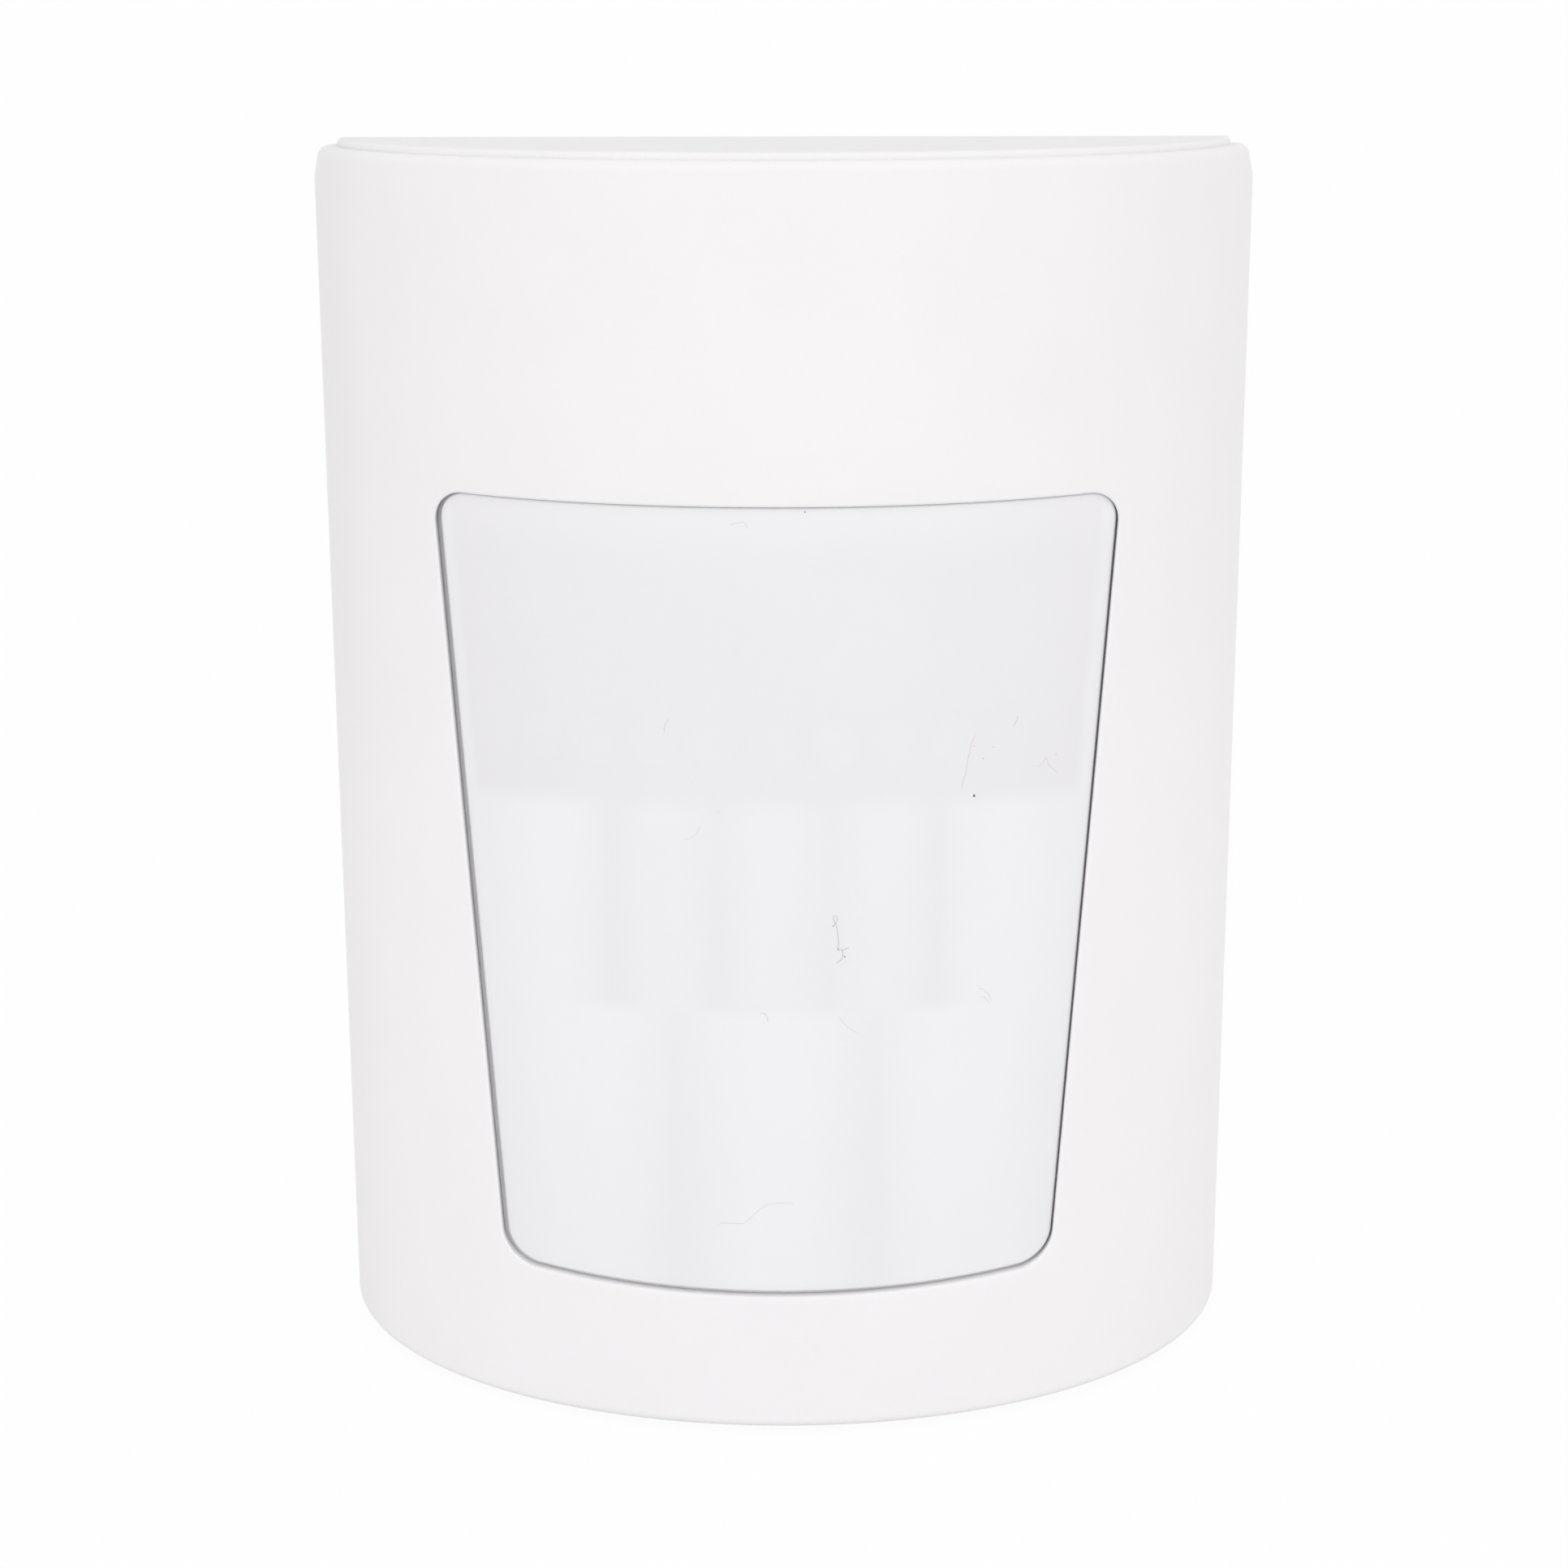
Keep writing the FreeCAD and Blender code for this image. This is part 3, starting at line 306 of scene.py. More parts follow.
def rim_ring(angle):
    """Ring on the rounded rim and foot."""
    rise = RIM_ROUNDING * math.sin(angle)
    span = (SKIN_SPAN[0] - rise, SKIN_SPAN[1] + rise)
    return [skin_point(u, v, span, RIM_ROUNDING * (1 - math.cos(angle))) for u, v in BORDER]


def rim_lip(u, v):
    """How far the rim leans in towards the case, which it does except at the wall."""
    return RIM_LIP * min(1, (1 - abs(u)) / LIP_LEAN_SHARE) if abs(v) == 1 else 0


def cover_skin(bm):
    """The cover's closed skin: window wall, lip, outside, rims and inside."""
    start = first_ring(bm, [from_front(x, z, WALL) for x, z in grown(0)])
    ring = start
    for depth in WALL_STEPS:
        ring = next_ring(bm, ring, [from_front(x, z, LIP + (WALL - LIP) * depth) for x, z in grown(0)])
    for step in range(LIP_STEPS + 1):
        angle = math.pi / 2 * step / LIP_STEPS
        edge = grown(LIP * (1 - math.cos(angle)))
        ring = next_ring(bm, ring, [from_front(x, z, LIP * (1 - math.sin(angle))) for x, z in edge])
    window = [shares_of(x, z, SKIN_SPAN, 0) for x, z in grown(LIP)]
    for step in range(1, SKIN_STEPS + 1):
        share = 1 - (1 - step / SKIN_STEPS) ** SKIN_CROWDING
        ring = next_ring(bm, ring, skin_between(window, BORDER, share, SKIN_SPAN, 0, skin_point))
    for step in range(1, RIM_STEPS + 1):
        ring = next_ring(bm, ring, rim_ring(math.pi / 2 * step / RIM_STEPS))
    for low, inset in ((0, WALL - INNER_EDGE), (INNER_EDGE, WALL)):
        span = (low - HALF_HEIGHT, HALF_HEIGHT - low)
        ring = next_ring(bm, ring, [from_shares(u, v, span, inset + rim_lip(u, v)) for u, v in BORDER])
    inner_window = [shares_of(x, z, span, WALL) for x, z in grown(0)]
    for step in range(1, INSIDE_STEPS):
        ring = next_ring(bm, ring, skin_between(BORDER, inner_window, step / INSIDE_STEPS, span, WALL))
    bmesh.ops.bridge_loops(bm, edges=ring[1] + start[1])


cover_mesh = bmesh.new()
cover_skin(cover_mesh)
print("open edges in the cover's skin:", sum(1 for edge in cover_mesh.edges if not edge.is_manifold))

# %% [markdown]
# Inside the cover the same moulding has four studs for the lens frame, four snap catches, a boss for the
# locking screw and the post that presses the tamper switch. They are plain turned and square shapes, so each
# is one of bmesh's own shapes, moved to where the solid model has it and sunk into the wall.

# %% Bars and blocks
ROD_SIDES = 32


def add_rod(bm, start, end, radius):
    """Round bar between two points, closed at its ends."""
    along = Vector(end) - Vector(start)
    turn = along.to_track_quat("Z", "Y").to_matrix().to_4x4()
    place = Matrix.Translation((Vector(start) + Vector(end)) / 2) @ turn
    bmesh.ops.create_cone(bm, cap_ends=True, segments=ROD_SIDES, radius1=radius, radius2=radius,
                          depth=along.length, matrix=place)


def add_block(bm, low, high):
    """Box between two corners."""
    low, high = Vector(low), Vector(high)
    size = Matrix.Diagonal((*(high - low), 1))
    return bmesh.ops.create_cube(bm, size=1, matrix=Matrix.Translation((low + high) / 2) @ size)["verts"]


# %% Studs, catches, boss and post
ROOT_INSET = WALL * 0.7

STUD_RADIUS = 0.9 * MM
STUD_PLACES = ((-8.0, 25.7), (8.0, 25.7), (-13.0, -38.36), (13.0, -38.36))
STUD_INSET = FLANGE_BACK + 1.48 * MM
STUD_TIP = 1.0 * MM

CATCH_HEIGHT = 18.0 * MM
CATCH_HALF = 3.0 * MM
CATCH_FRONT, CATCH_MIDDLE, CATCH_BACK = -6.4 * MM, -5.2 * MM, -4.0 * MM
CATCH_REACH = 1.1 * MM
CATCH_ROOT = 0.4 * MM
CATCH_TIP = 0.14 * MM

SCREW_DEPTH = 23.5 * MM
BOSS_RADIUS = 2.7 * MM
BOSS_LOW, BOSS_TOP = -42.25 * MM, -35.3 * MM
RIB_HALF = 1.4 * MM

TAMPER_PLACE = (14.3 * MM, 26.6 * MM)
TAMPER_RADIUS = 1.8 * MM
TAMPER_END = -15.457 * MM


def add_studs(bm):
    """Four studs that carry the lens frame."""
    for across, height in STUD_PLACES:
        root = from_front(across * MM, height * MM, ROOT_INSET)
        end = from_front(across * MM, height * MM, STUD_INSET)
        add_rod(bm, root, (root.x, end.y + STUD_TIP, root.z), STUD_RADIUS)


def add_catches(bm):
    """Four wedge-shaped snap catches near the wall."""
    for side in (-1, 1):
        for height in (-CATCH_HEIGHT, CATCH_HEIGHT):
            wall = math.sqrt((drum_radius(height) - WALL) ** 2 - (AXIS - CATCH_MIDDLE) ** 2)
            verts = add_block(bm, (wall - CATCH_REACH, CATCH_FRONT, height - CATCH_HALF),
                              (wall + CATCH_ROOT, CATCH_BACK, height + CATCH_HALF))
            for vert in verts:
                if vert.co.x < wall and vert.co.y > CATCH_MIDDLE:
                    vert.co.x = wall - CATCH_TIP
                vert.co.x *= side


def add_boss_and_post(bm):
    """Boss for the locking screw, its rib, and the post over the tamper switch."""
    add_rod(bm, (0, -SCREW_DEPTH, BOSS_LOW), (0, -SCREW_DEPTH, BOSS_TOP), BOSS_RADIUS)
    front = from_front(0, BOSS_LOW, ROOT_INSET)
    add_block(bm, (-RIB_HALF, front.y, BOSS_LOW), (RIB_HALF, -SCREW_DEPTH - 2 * MM, BOSS_LOW + 2 * RIB_HALF))
    root = from_front(TAMPER_PLACE[0], TAMPER_PLACE[1], ROOT_INSET)
    add_rod(bm, root, (root.x, TAMPER_END, root.z), TAMPER_RADIUS)


add_studs(cover_mesh)
add_catches(cover_mesh)
add_boss_and_post(cover_mesh)
front_cover = piece_from(cover_mesh, "front_cover_shell", "detector", ["front_cover"])

# %% [markdown]
# ## The lens
# The lens is a shallow pan of milky polythene: a thin sheet that follows the drum, a skirt round it and a
# flange behind the cover's wall. The rings start at the sheet's edge, which is slightly rounded, run back
# down the skirt, over the bead and out round the flange, and come up again inside. The two large faces are
# filled as grids, so that they carry enough points to lie on the drum.

# %% The lens pan
LENS_EDGE_STEPS = 4


def fill_on_drum(bm, ring, inset):
    """Fill a ring with a grid and lay its points on the drum."""
    verts, edges = ring
    side = COUNT // 4
    rank = {vert: index for index, vert in enumerate(verts)}
    rails = [edge for edge in edges
             if all(rank[vert] <= side for vert in edge.verts)
             or all(2 * side <= rank[vert] <= 3 * side for vert in edge.verts)]
    made = bmesh.ops.grid_fill(bm, edges=rails, mat_nr=0, use_smooth=True, use_interp_simple=True)["faces"]
    for vert in {vert for face in made for vert in face.verts}:
        if vert not in rank:
            vert.co = from_front(vert.co.x, vert.co.z, inset)
    return len(made)


def lens_ring(grow, inset):
    """Ring of the lens at a distance outside the window's outline."""
    middle = (WINDOW_TOP + WINDOW_BOTTOM) / 2
    return [from_front(x, middle + (z - middle) * LENS_TALLER, inset) for x, z in grown(grow, LENS_SHIFT)]


def bead_ring(inset):
    """Ring of the bead that closes the gap under the window's edge."""
    return [from_front(x, z, inset) for x, z in grown(-BEAD_GAP)]


def lens_pan():
    """The lens as one closed skin."""
    bm = bmesh.new()
    face = first_ring(bm, lens_ring(-LENS_GAP - LENS_EDGE, LENS_RECESS))
    ring = face
    for step in range(1, LENS_EDGE_STEPS + 1):
        angle = math.pi / 2 * step / LENS_EDGE_STEPS
        grow = -LENS_GAP - LENS_EDGE * (1 - math.sin(angle))
        ring = next_ring(bm, ring, lens_ring(grow, LENS_RECESS + LENS_EDGE * (1 - math.cos(angle))))
    for points in (lens_ring(-LENS_GAP, BEAD_FACE), bead_ring(BEAD_FACE), bead_ring(FLANGE_FACE)):
        ring = next_ring(bm, ring, points)
    turns = [(FLANGE_WIDTH, FLANGE_FACE), (FLANGE_WIDTH, FLANGE_BACK),
             (-LENS_GAP - LENS_SKIRT, FLANGE_BACK), (-LENS_GAP - LENS_SKIRT, LENS_RECESS + LENS_SHEET)]
    for grow, inset in turns:
        ring = next_ring(bm, ring, lens_ring(grow, inset))
    filled = fill_on_drum(bm, face, LENS_RECESS)
    filled += fill_on_drum(bm, ring, LENS_RECESS + LENS_SHEET)
    print("lens grid faces:", filled, "open edges:", sum(1 for edge in bm.edges if not edge.is_manifold))
    return piece_from(bm, "fresnel_lens_sheet", "detector", ["fresnel_lens"])


fresnel_lens = lens_pan()

# %% [markdown]
# ## Dust and fibres
# A used detector has a few fibres and specks of dust on its lens. Each fibre is a thin tube along a path seen
# from the front, laid on the lens, and each speck is a small flattened ball.

# %% Fibres and specks on the lens
FIBRE_SIDES = 6
SUNK = 0.8
SPECK_HEIGHT = 0.4
DUST_SMOOTH = 70


def fibre(name, path, radius):
    """Thin tube along a path of places (x, z) in millimetres on the lens."""
    bm = bmesh.new()
    points = [from_front(x * MM, z * MM, LENS_RECESS - radius * SUNK) for x, z in path]
    ring = None
    for index, point in enumerate(points):
        along = (points[min(index + 1, len(points) - 1)] - points[max(index - 1, 0)]).normalized()
        out = Vector((point.x, point.y - AXIS, 0)).normalized()
        side = along.cross(out).normalized()
        turns = [2 * math.pi * step / FIBRE_SIDES for step in range(FIBRE_SIDES)]
        circle = [point + radius * (math.cos(turn) * side + math.sin(turn) * out) for turn in turns]
        ring = next_ring(bm, ring, circle) if ring else first_ring(bm, circle)
    bmesh.ops.holes_fill(bm, edges=bm.edges, sides=FIBRE_SIDES)
    return piece_from(bm, name, "detector", None, DUST_SMOOTH)


def specks(name, places):
    """Small flattened balls on the lens, as places and radii in millimetres."""
    bm = bmesh.new()
    for x, z, radius in places:
        flat = Matrix.Diagonal((1, SPECK_HEIGHT, 1, 1))
        place = Matrix.Translation(from_front(x * MM, z * MM, LENS_RECESS))
        bmesh.ops.create_icosphere(bm, subdivisions=2, radius=radius * MM, matrix=place @ flat)
    return piece_from(bm, name, "detector", None, DUST_SMOOTH)


HAIRS = (
    ("red_hair", 0.012, "brown_hair",
     ((13.83, 5.18), (13.56, 4.58), (13.42, 3.93), (13.30, 3.37), (13.24, 2.75), (13.06, 2.15),
      (12.90, 1.58))),
    ("grey_loop", 0.013, "grey_dust",
     ((4.06, -7.78), (4.20, -7.55), (4.10, -7.30), (4.14, -6.98), (4.34, -7.06), (4.39, -7.30),
      (4.26, -7.60), (4.36, -8.05), (4.42, -8.54), (4.45, -8.97), (4.40, -9.41), (4.78, -9.46),
      (5.15, -9.33))),
    ("grey_tail", 0.014, "grey_dust",
     ((4.70, -9.47), (4.76, -9.93), (4.59, -10.19), (4.31, -10.39))),
    ("pale_hair", 0.014, "pale_dust",
     ((-4.02, -29.47), (-3.71, -29.31), (-2.95, -29.30), (-2.28, -29.31), (-2.00, -29.12),
      (-1.52, -28.66), (-1.04, -28.20), (-0.56, -27.87), (0.19, -27.74), (1.33, -27.78))),
    ("short_hair", 0.014, "pale_dust",
     ((-2.83, 20.19), (-2.58, 20.28), (-2.21, 20.36), (-1.89, 20.37), (-1.65, 19.95))),
    ("curved_hair", 0.010, "pale_dust",
     ((-6.23, -1.74), (-5.89, -1.67), (-5.5, -1.43), (-5.21, -1.07), (-5.1, -0.72))),
    ("dark_hair", 0.010, "grey_dust",
     ((16.74, 6.29), (16.8, 6), (16.63, 5.79), (16.52, 5.57))),
    ("left_hair", 0.008, "grey_dust",
     ((-7.17, 6.71), (-7.4, 6.36), (-7.51, 6.01), (-7.46, 5.79))),
    ("hooked_hair", 0.009, "grey_dust",
     ((-0.96, -13.92), (-0.68, -13.97), (-0.51, -14.15), (-0.45, -14.55))),
    ("warm_hair", 0.009, "brown_hair",
     ((4.44, -14.21), (4.72, -14.62), (5.11, -15.05), (5.73, -15.48))),
    ("upper_bend", 0.010, "tan_dust",
     ((14.24, -12.94), (14.58, -13.04), (14.93, -13.44), (15.17, -13.95))),
    ("lower_bend", 0.010, "tan_dust",
     ((14.3, -13.6), (14.65, -13.58), (15, -14.1))),
    ("red_tuft", 0.009, "brown_hair",
     ((18.23, 2.49), (18.58, 2.68), (18.86, 3.16), (19.04, 2.56), (19.7, 1.89))),
)
DARK_SPECKS = ((13.77, 0.93, 0.105), (13.74, 4.45, 0.032), (14.38, 3.52, 0.034), (15.11, 4.25, 0.028),
               (2.17, 21.07, 0.05), (4.87, -9.96, 0.055), (4.42, -9.43, 0.05), (4.08, -7.76, 0.045))
BROWN_SPECKS = ((19.56, 3.24, 0.045), (-3.75, 0.29, 0.035), (-7.79, 6.05, 0.03))
dust = [(fibre(name, path, radius * MM), colour) for name, radius, colour, path in HAIRS]
dust.append((specks("brown_specks", BROWN_SPECKS), "brown_hair"))
dust.append((specks("lens_specks", DARK_SPECKS), "dark_dust"))

# %% [markdown]
# ## Writing shaders as sums
# A finish is a small calculation: where is this point on the piece, how grainy is it here, how light. Written
# as node after node it is hard to follow, so one small class wraps a socket and lets Python's own signs build
# the Math nodes. Any other node comes from one method that takes its type, its settings and its inputs. Noise
# seldom reaches 0 or 1, so the spreads give the values between which fine grain and broad clouds mostly lie.

# %% A small shader kit
GRAIN_SPREAD, CLOUD_SPREAD = (0.2, 0.8), (0.3, 0.7)


class Wire:
    """A socket that can be added to, multiplied and so on."""

    def __init__(self, kit, socket):
        self.kit = kit
        self.socket = socket

    def __add__(self, other):
        return self.kit.maths("ADD", self, other)

    def __radd__(self, other):
        return self.kit.maths("ADD", other, self)

    def __sub__(self, other):
        return self.kit.maths("SUBTRACT", self, other)

    def __rsub__(self, other):
        return self.kit.maths("SUBTRACT", other, self)

    def __mul__(self, other):
        return self.kit.maths("MULTIPLY", self, other)

    def __rmul__(self, other):
        return self.kit.maths("MULTIPLY", other, self)

    def __truediv__(self, other):
        return self.kit.maths("DIVIDE", self, other)

    def __gt__(self, other):
        return self.kit.maths("GREATER_THAN", self, other)


class Finish:
    """One material and the few nodes it is made of."""

    def __init__(self, name):
        self.material = bpy.data.materials.new(name)
        self.material.use_nodes = True
        self.tree = self.material.node_tree
        self.tree.nodes.clear()
        self.surface = self.tree.nodes.new("ShaderNodeBsdfPrincipled")
        output = self.tree.nodes.new("ShaderNodeOutputMaterial")
        self.tree.links.new(self.surface.outputs["BSDF"], output.inputs["Surface"])
        place = self.tree.nodes.new("ShaderNodeTexCoord")
        self.place = Wire(self, place.outputs["Object"])

    def node(self, kind, settings=None, inputs=None, output=0):
        """A node from its type, settings and inputs, and one of its outputs as a wire."""
        made = self.tree.nodes.new(kind)
        for name, value in (settings or {}).items():
            setattr(made, name, value)
        for name, value in (inputs or {}).items():
            self.feed(made.inputs[name], value)
        return Wire(self, made.outputs[output])

    def feed(self, socket, value):
        """Link a wire or set a plain value."""
        if isinstance(value, Wire):
            self.tree.links.new(value.socket, socket)
        else:
            socket.default_value = value

    def maths(self, operation, first, second=0.0):
        """A Math node of one or two values."""
        return self.node("ShaderNodeMath", {"operation": operation}, {0: first, 1: second})

    def blend(self, share, first, second):
        """Mix of two colours."""
        return self.node("ShaderNodeMix", {"data_type": "RGBA"}, {0: share, 6: first, 7: second}, output=2)

    def tone(self, colour, level):
        """A colour made lighter or darker by a level round 1."""
        return self.node("ShaderNodeVectorMath", {"operation": "SCALE"}, {0: colour, "Scale": level})

    def axes(self):
        """The place on the piece as three numbers in millimetres."""
        scaled = self.node("ShaderNodeVectorMath", {"operation": "SCALE"}, {0: self.place, "Scale": 1 / MM})
        parts = self.tree.nodes.new("ShaderNodeSeparateXYZ")
        self.tree.links.new(scaled.socket, parts.inputs[0])
        return [Wire(self, socket) for socket in parts.outputs]

    def noise(self, size, detail=2.0, roughness=0.5):
        """Cloudy noise whose blotches are about the given size in millimetres."""
        inputs = {"Vector": self.place, "Scale": 1 / (size * MM), "Detail": detail, "Roughness": roughness}
        return self.node("ShaderNodeTexNoise", {}, inputs)

    def ramp(self, value, low, high, start=0.0, end=1.0):
        """A value carried from one range to another, held at its ends."""
        return self.node("ShaderNodeMapRange", {"interpolation_type": "SMOOTHSTEP"},
                         {0: value, 1: low, 2: high, 3: start, 4: end})

    def bump(self, height, strength, distance):
        """A bump from a height, for the surface's normal."""
        inputs = {"Height": height, "Strength": strength, "Distance": distance * MM}
        return self.node("ShaderNodeBump", {}, inputs)

    def set(self, **sockets):
        """Feed the surface's sockets, named with underscores for spaces."""
        for name, value in sockets.items():
            self.feed(self.surface.inputs[name.replace("_", " ")], value)
        return self.material


# %% [markdown]
# ## Housing plastic
# The cover and the case are satin white ABS. The mould was spark-eroded to a very fine grain that softens
# every reflection, and the colour is a neutral white with a trace of pink. Large faces vary by less than one
# part in a hundred, so the noise on the colour is faint, and the grain is in the bump. Painted light makes
# the lower flanks a shade lighter than the rest, and painted shade makes the strip nearest the wall on the
# left a shade darker.

# %% White housing plastic
HOUSING_WHITE = (0.885, 0.871, 0.883)
# Painted light on the lower flanks, and painted shade on the strip nearest the wall on the left.
PAINTED_LIGHT_SIDES = (8, 28)
PAINTED_LIGHT_HEIGHTS = (25, -10)
PAINTED_LIGHT_LEVELS = (-0.002, 0.018)
PAINTED_SHADE_LEFT = (-28.5, -33)
PAINTED_SHADE_LEFT_LEVEL = 0.036
HOUSING_CLOUD, HOUSING_GRAIN = (0.994, 1.004), 0.012
HOUSING_ROUGHNESS = (0.46, 0.58)


def housing_finish():
    """Satin white plastic with a fine moulded grain, painted light on the lower flanks and painted shade on
    the left strip.
    """
    finish = Finish("white_housing_with_painted_light_and_shade")
    grain = finish.noise(0.22, 2.0, 0.6)
    cloud = finish.noise(9.0, 3.0)
    x, y, z = finish.axes()
    # painted light: the lower flanks are made lighter towards the sides
    low_part = finish.ramp(z, *PAINTED_LIGHT_HEIGHTS, *PAINTED_LIGHT_LEVELS)
    painted_flank_light = finish.ramp(finish.maths("ABSOLUTE", x), *PAINTED_LIGHT_SIDES) * low_part
    # painted shade: the strip nearest the wall on the left is made darker
    strip = finish.ramp(x, *PAINTED_SHADE_LEFT, 0, PAINTED_SHADE_LEFT_LEVEL)
    level = finish.ramp(cloud, *CLOUD_SPREAD, *HOUSING_CLOUD) + (grain - 0.5) * HOUSING_GRAIN + painted_flank_light - strip
    return finish.set(Base_Color=finish.tone(HOUSING_WHITE, level),
                      Roughness=finish.ramp(grain, *GRAIN_SPREAD, *HOUSING_ROUGHNESS),
                      Normal=finish.bump(grain, 0.25, 0.012))


housing = housing_finish()
print("finish:", housing.name)

# %% [markdown]
# ## The milky lens
# The lens is natural polythene, a little darker and bluer than the housing, and a trace warmer at the sides
# of its top row. Its inner face is cut into three rows of ring lenses, nine, five and three to a row. The
# grooves are not built; the light and shade that they throw through the milky sheet are painted into its
# colour as soft panels: each is painted lightest near its middle and darkest at its joints, and the top row
# is painted darker than the two below. Of the nine upper ones hardly more shows than a painted light disc
# each, and that row leaves a plain margin at the sides. A band along the top edge is painted lighter. The
# pattern goes by the angle round the drum, as the mould does, and not by the distance across the picture.
#
# The values of the two lower rows give, in degrees, half the width of an inner panel, where the wide outer
# panels begin, how far the painted joint shade fades there and where the painted shade at the sides begins.
# Their depth is how dark a joint is painted, and their lift how much lighter an outer panel is painted.

# %% Rows and panels of the lens
LENS_WHITE, LENS_WARM = (0.835, 0.835, 0.853, 1), (0.831, 0.819, 0.845, 1)
WARM_ANGLES = (18, 40)
ROW_BLUR = (1.0, 0.6)
ROW_DROP, ROW_DROP_ANGLE = 0.45, 36
TOP_MARGIN = (0.7, 1.6)
ROW_HEIGHTS = (21.0, 1.4, -14.0, -34.0)
# painted shade: the top row darker than the two below, each row a little lighter towards its top
PAINTED_ROW_LEVELS = ((-0.014, -0.022), (0.012, 0.006), (0.030, 0.016))
# painted shade at the joints of the top row
TOP_PANEL, PAINTED_TOP_JOINT, TOP_FADE = 7.1, 0.004, (8.0, 4.0)
LENS_RADIUS = 34.3
# painted light disc and painted dark ring in each panel of the top row
DISC_HEIGHT, DISC_EDGE, PAINTED_DISC_LIGHT, DISC_ANGLES = 5.0, (1.2, 1.9), 0.0045, (32, 33)
RING_RADIUS, RING_EDGE, PAINTED_RING_SHADE = 2.1, (0.1, 0.5), 0.0025
# painted joint shade, lighter outer panels and darker sides of the two lower rows
MIDDLE_PANELS = {"inner": 6.55, "border": 19.65, "depth": 0.026, "lift": 0.026, "fade": 8.0,
                 "edge": (28, 38, 0, 0.022)}
LOW_PANELS = {"inner": 12.1, "border": 12.1, "depth": 0.040, "lift": 0.004, "fade": 9.0,
              "edge": (27, 36, 0, 0.024)}
JOINT_EDGE = (0.15, 1.08)
# painted light in a band along the lens's top edge
PAINTED_TOP_LIGHT_HEIGHTS, PAINTED_TOP_LIGHT_LEVEL = (17.0, 21.2), 0.030


def lens_rows(finish, x, z, turn):
    """Masks of the three rows. The top one ends lower at its sides and leaves a plain margin there."""
    lowered = z + finish.maths("POWER", turn / ROW_DROP_ANGLE, 2.0) * ROW_DROP
    top = finish.ramp(lowered, ROW_EDGES[0] / MM - ROW_BLUR[0], ROW_EDGES[0] / MM + ROW_BLUR[0])
    low = 1 - finish.ramp(z, ROW_EDGES[1] / MM - ROW_BLUR[1], ROW_EDGES[1] / MM + ROW_BLUR[1])
    slope = (HALF_WIDTH_TOP - HALF_WIDTH_BOTTOM) / (WINDOW_TOP - WINDOW_BOTTOM)
    half_width = (z - WINDOW_BOTTOM / MM) * slope + HALF_WIDTH_BOTTOM / MM
    top = top * finish.ramp(half_width - finish.maths("ABSOLUTE", x), *TOP_MARGIN)
    return top, 1 - top - low, low


def top_shade(finish, angle, turn, z):
    """Painted shade of the top row: faint joints, and a painted light disc with a painted dark ring in each
    panel.
    """
    part = finish.maths("FRACT", angle / TOP_PANEL + 0.5) - 0.5
    across = part * (LENS_RADIUS * math.radians(TOP_PANEL))
    above = z - DISC_HEIGHT
    reach = finish.maths("SQRT", across * across + above * above)
    disc = finish.ramp(reach, *DISC_EDGE, PAINTED_DISC_LIGHT, 0)
    ring = finish.ramp(finish.maths("ABSOLUTE", reach - RING_RADIUS), *RING_EDGE, PAINTED_RING_SHADE, 0)
    joint = finish.maths("POWER", finish.maths("ABSOLUTE", part) * 2, 2.0) * finish.ramp(z, *TOP_FADE)
    return joint * PAINTED_TOP_JOINT + (ring - disc) * finish.ramp(turn, *DISC_ANGLES, 1, 0)


def panel_shade(finish, angle, turn, panels):
    """Painted shade of a lower row: soft joints between its panels, a wide outer panel painted lighter each
    side, and painted shade at the sides.
    """
    near = finish.maths("ABSOLUTE", finish.maths("FRACT", angle / (2 * panels["inner"]) + 0.5) - 0.5) * 2
    inner = finish.ramp(near, *JOINT_EDGE, 0, panels["depth"])
    fade = finish.maths("MAXIMUM", 1 - (turn - panels["border"]) / panels["fade"], 0.0)
    outer = fade * fade * (panels["depth"] + panels["lift"]) - panels["lift"]
    side = turn > panels["border"]
    return inner + side * (outer - inner) + finish.ramp(turn, *panels["edge"])


print("joints of the middle row, in degrees:",
      [round(MIDDLE_PANELS["inner"] * step, 2) for step in (-3, -1, 1, 3)])

# %% Milky lens polythene
LENS_CLOUD, LENS_GRAIN = (-0.003, 0.003), 0.01
LENS_ROUGHNESS = (0.42, 0.52)


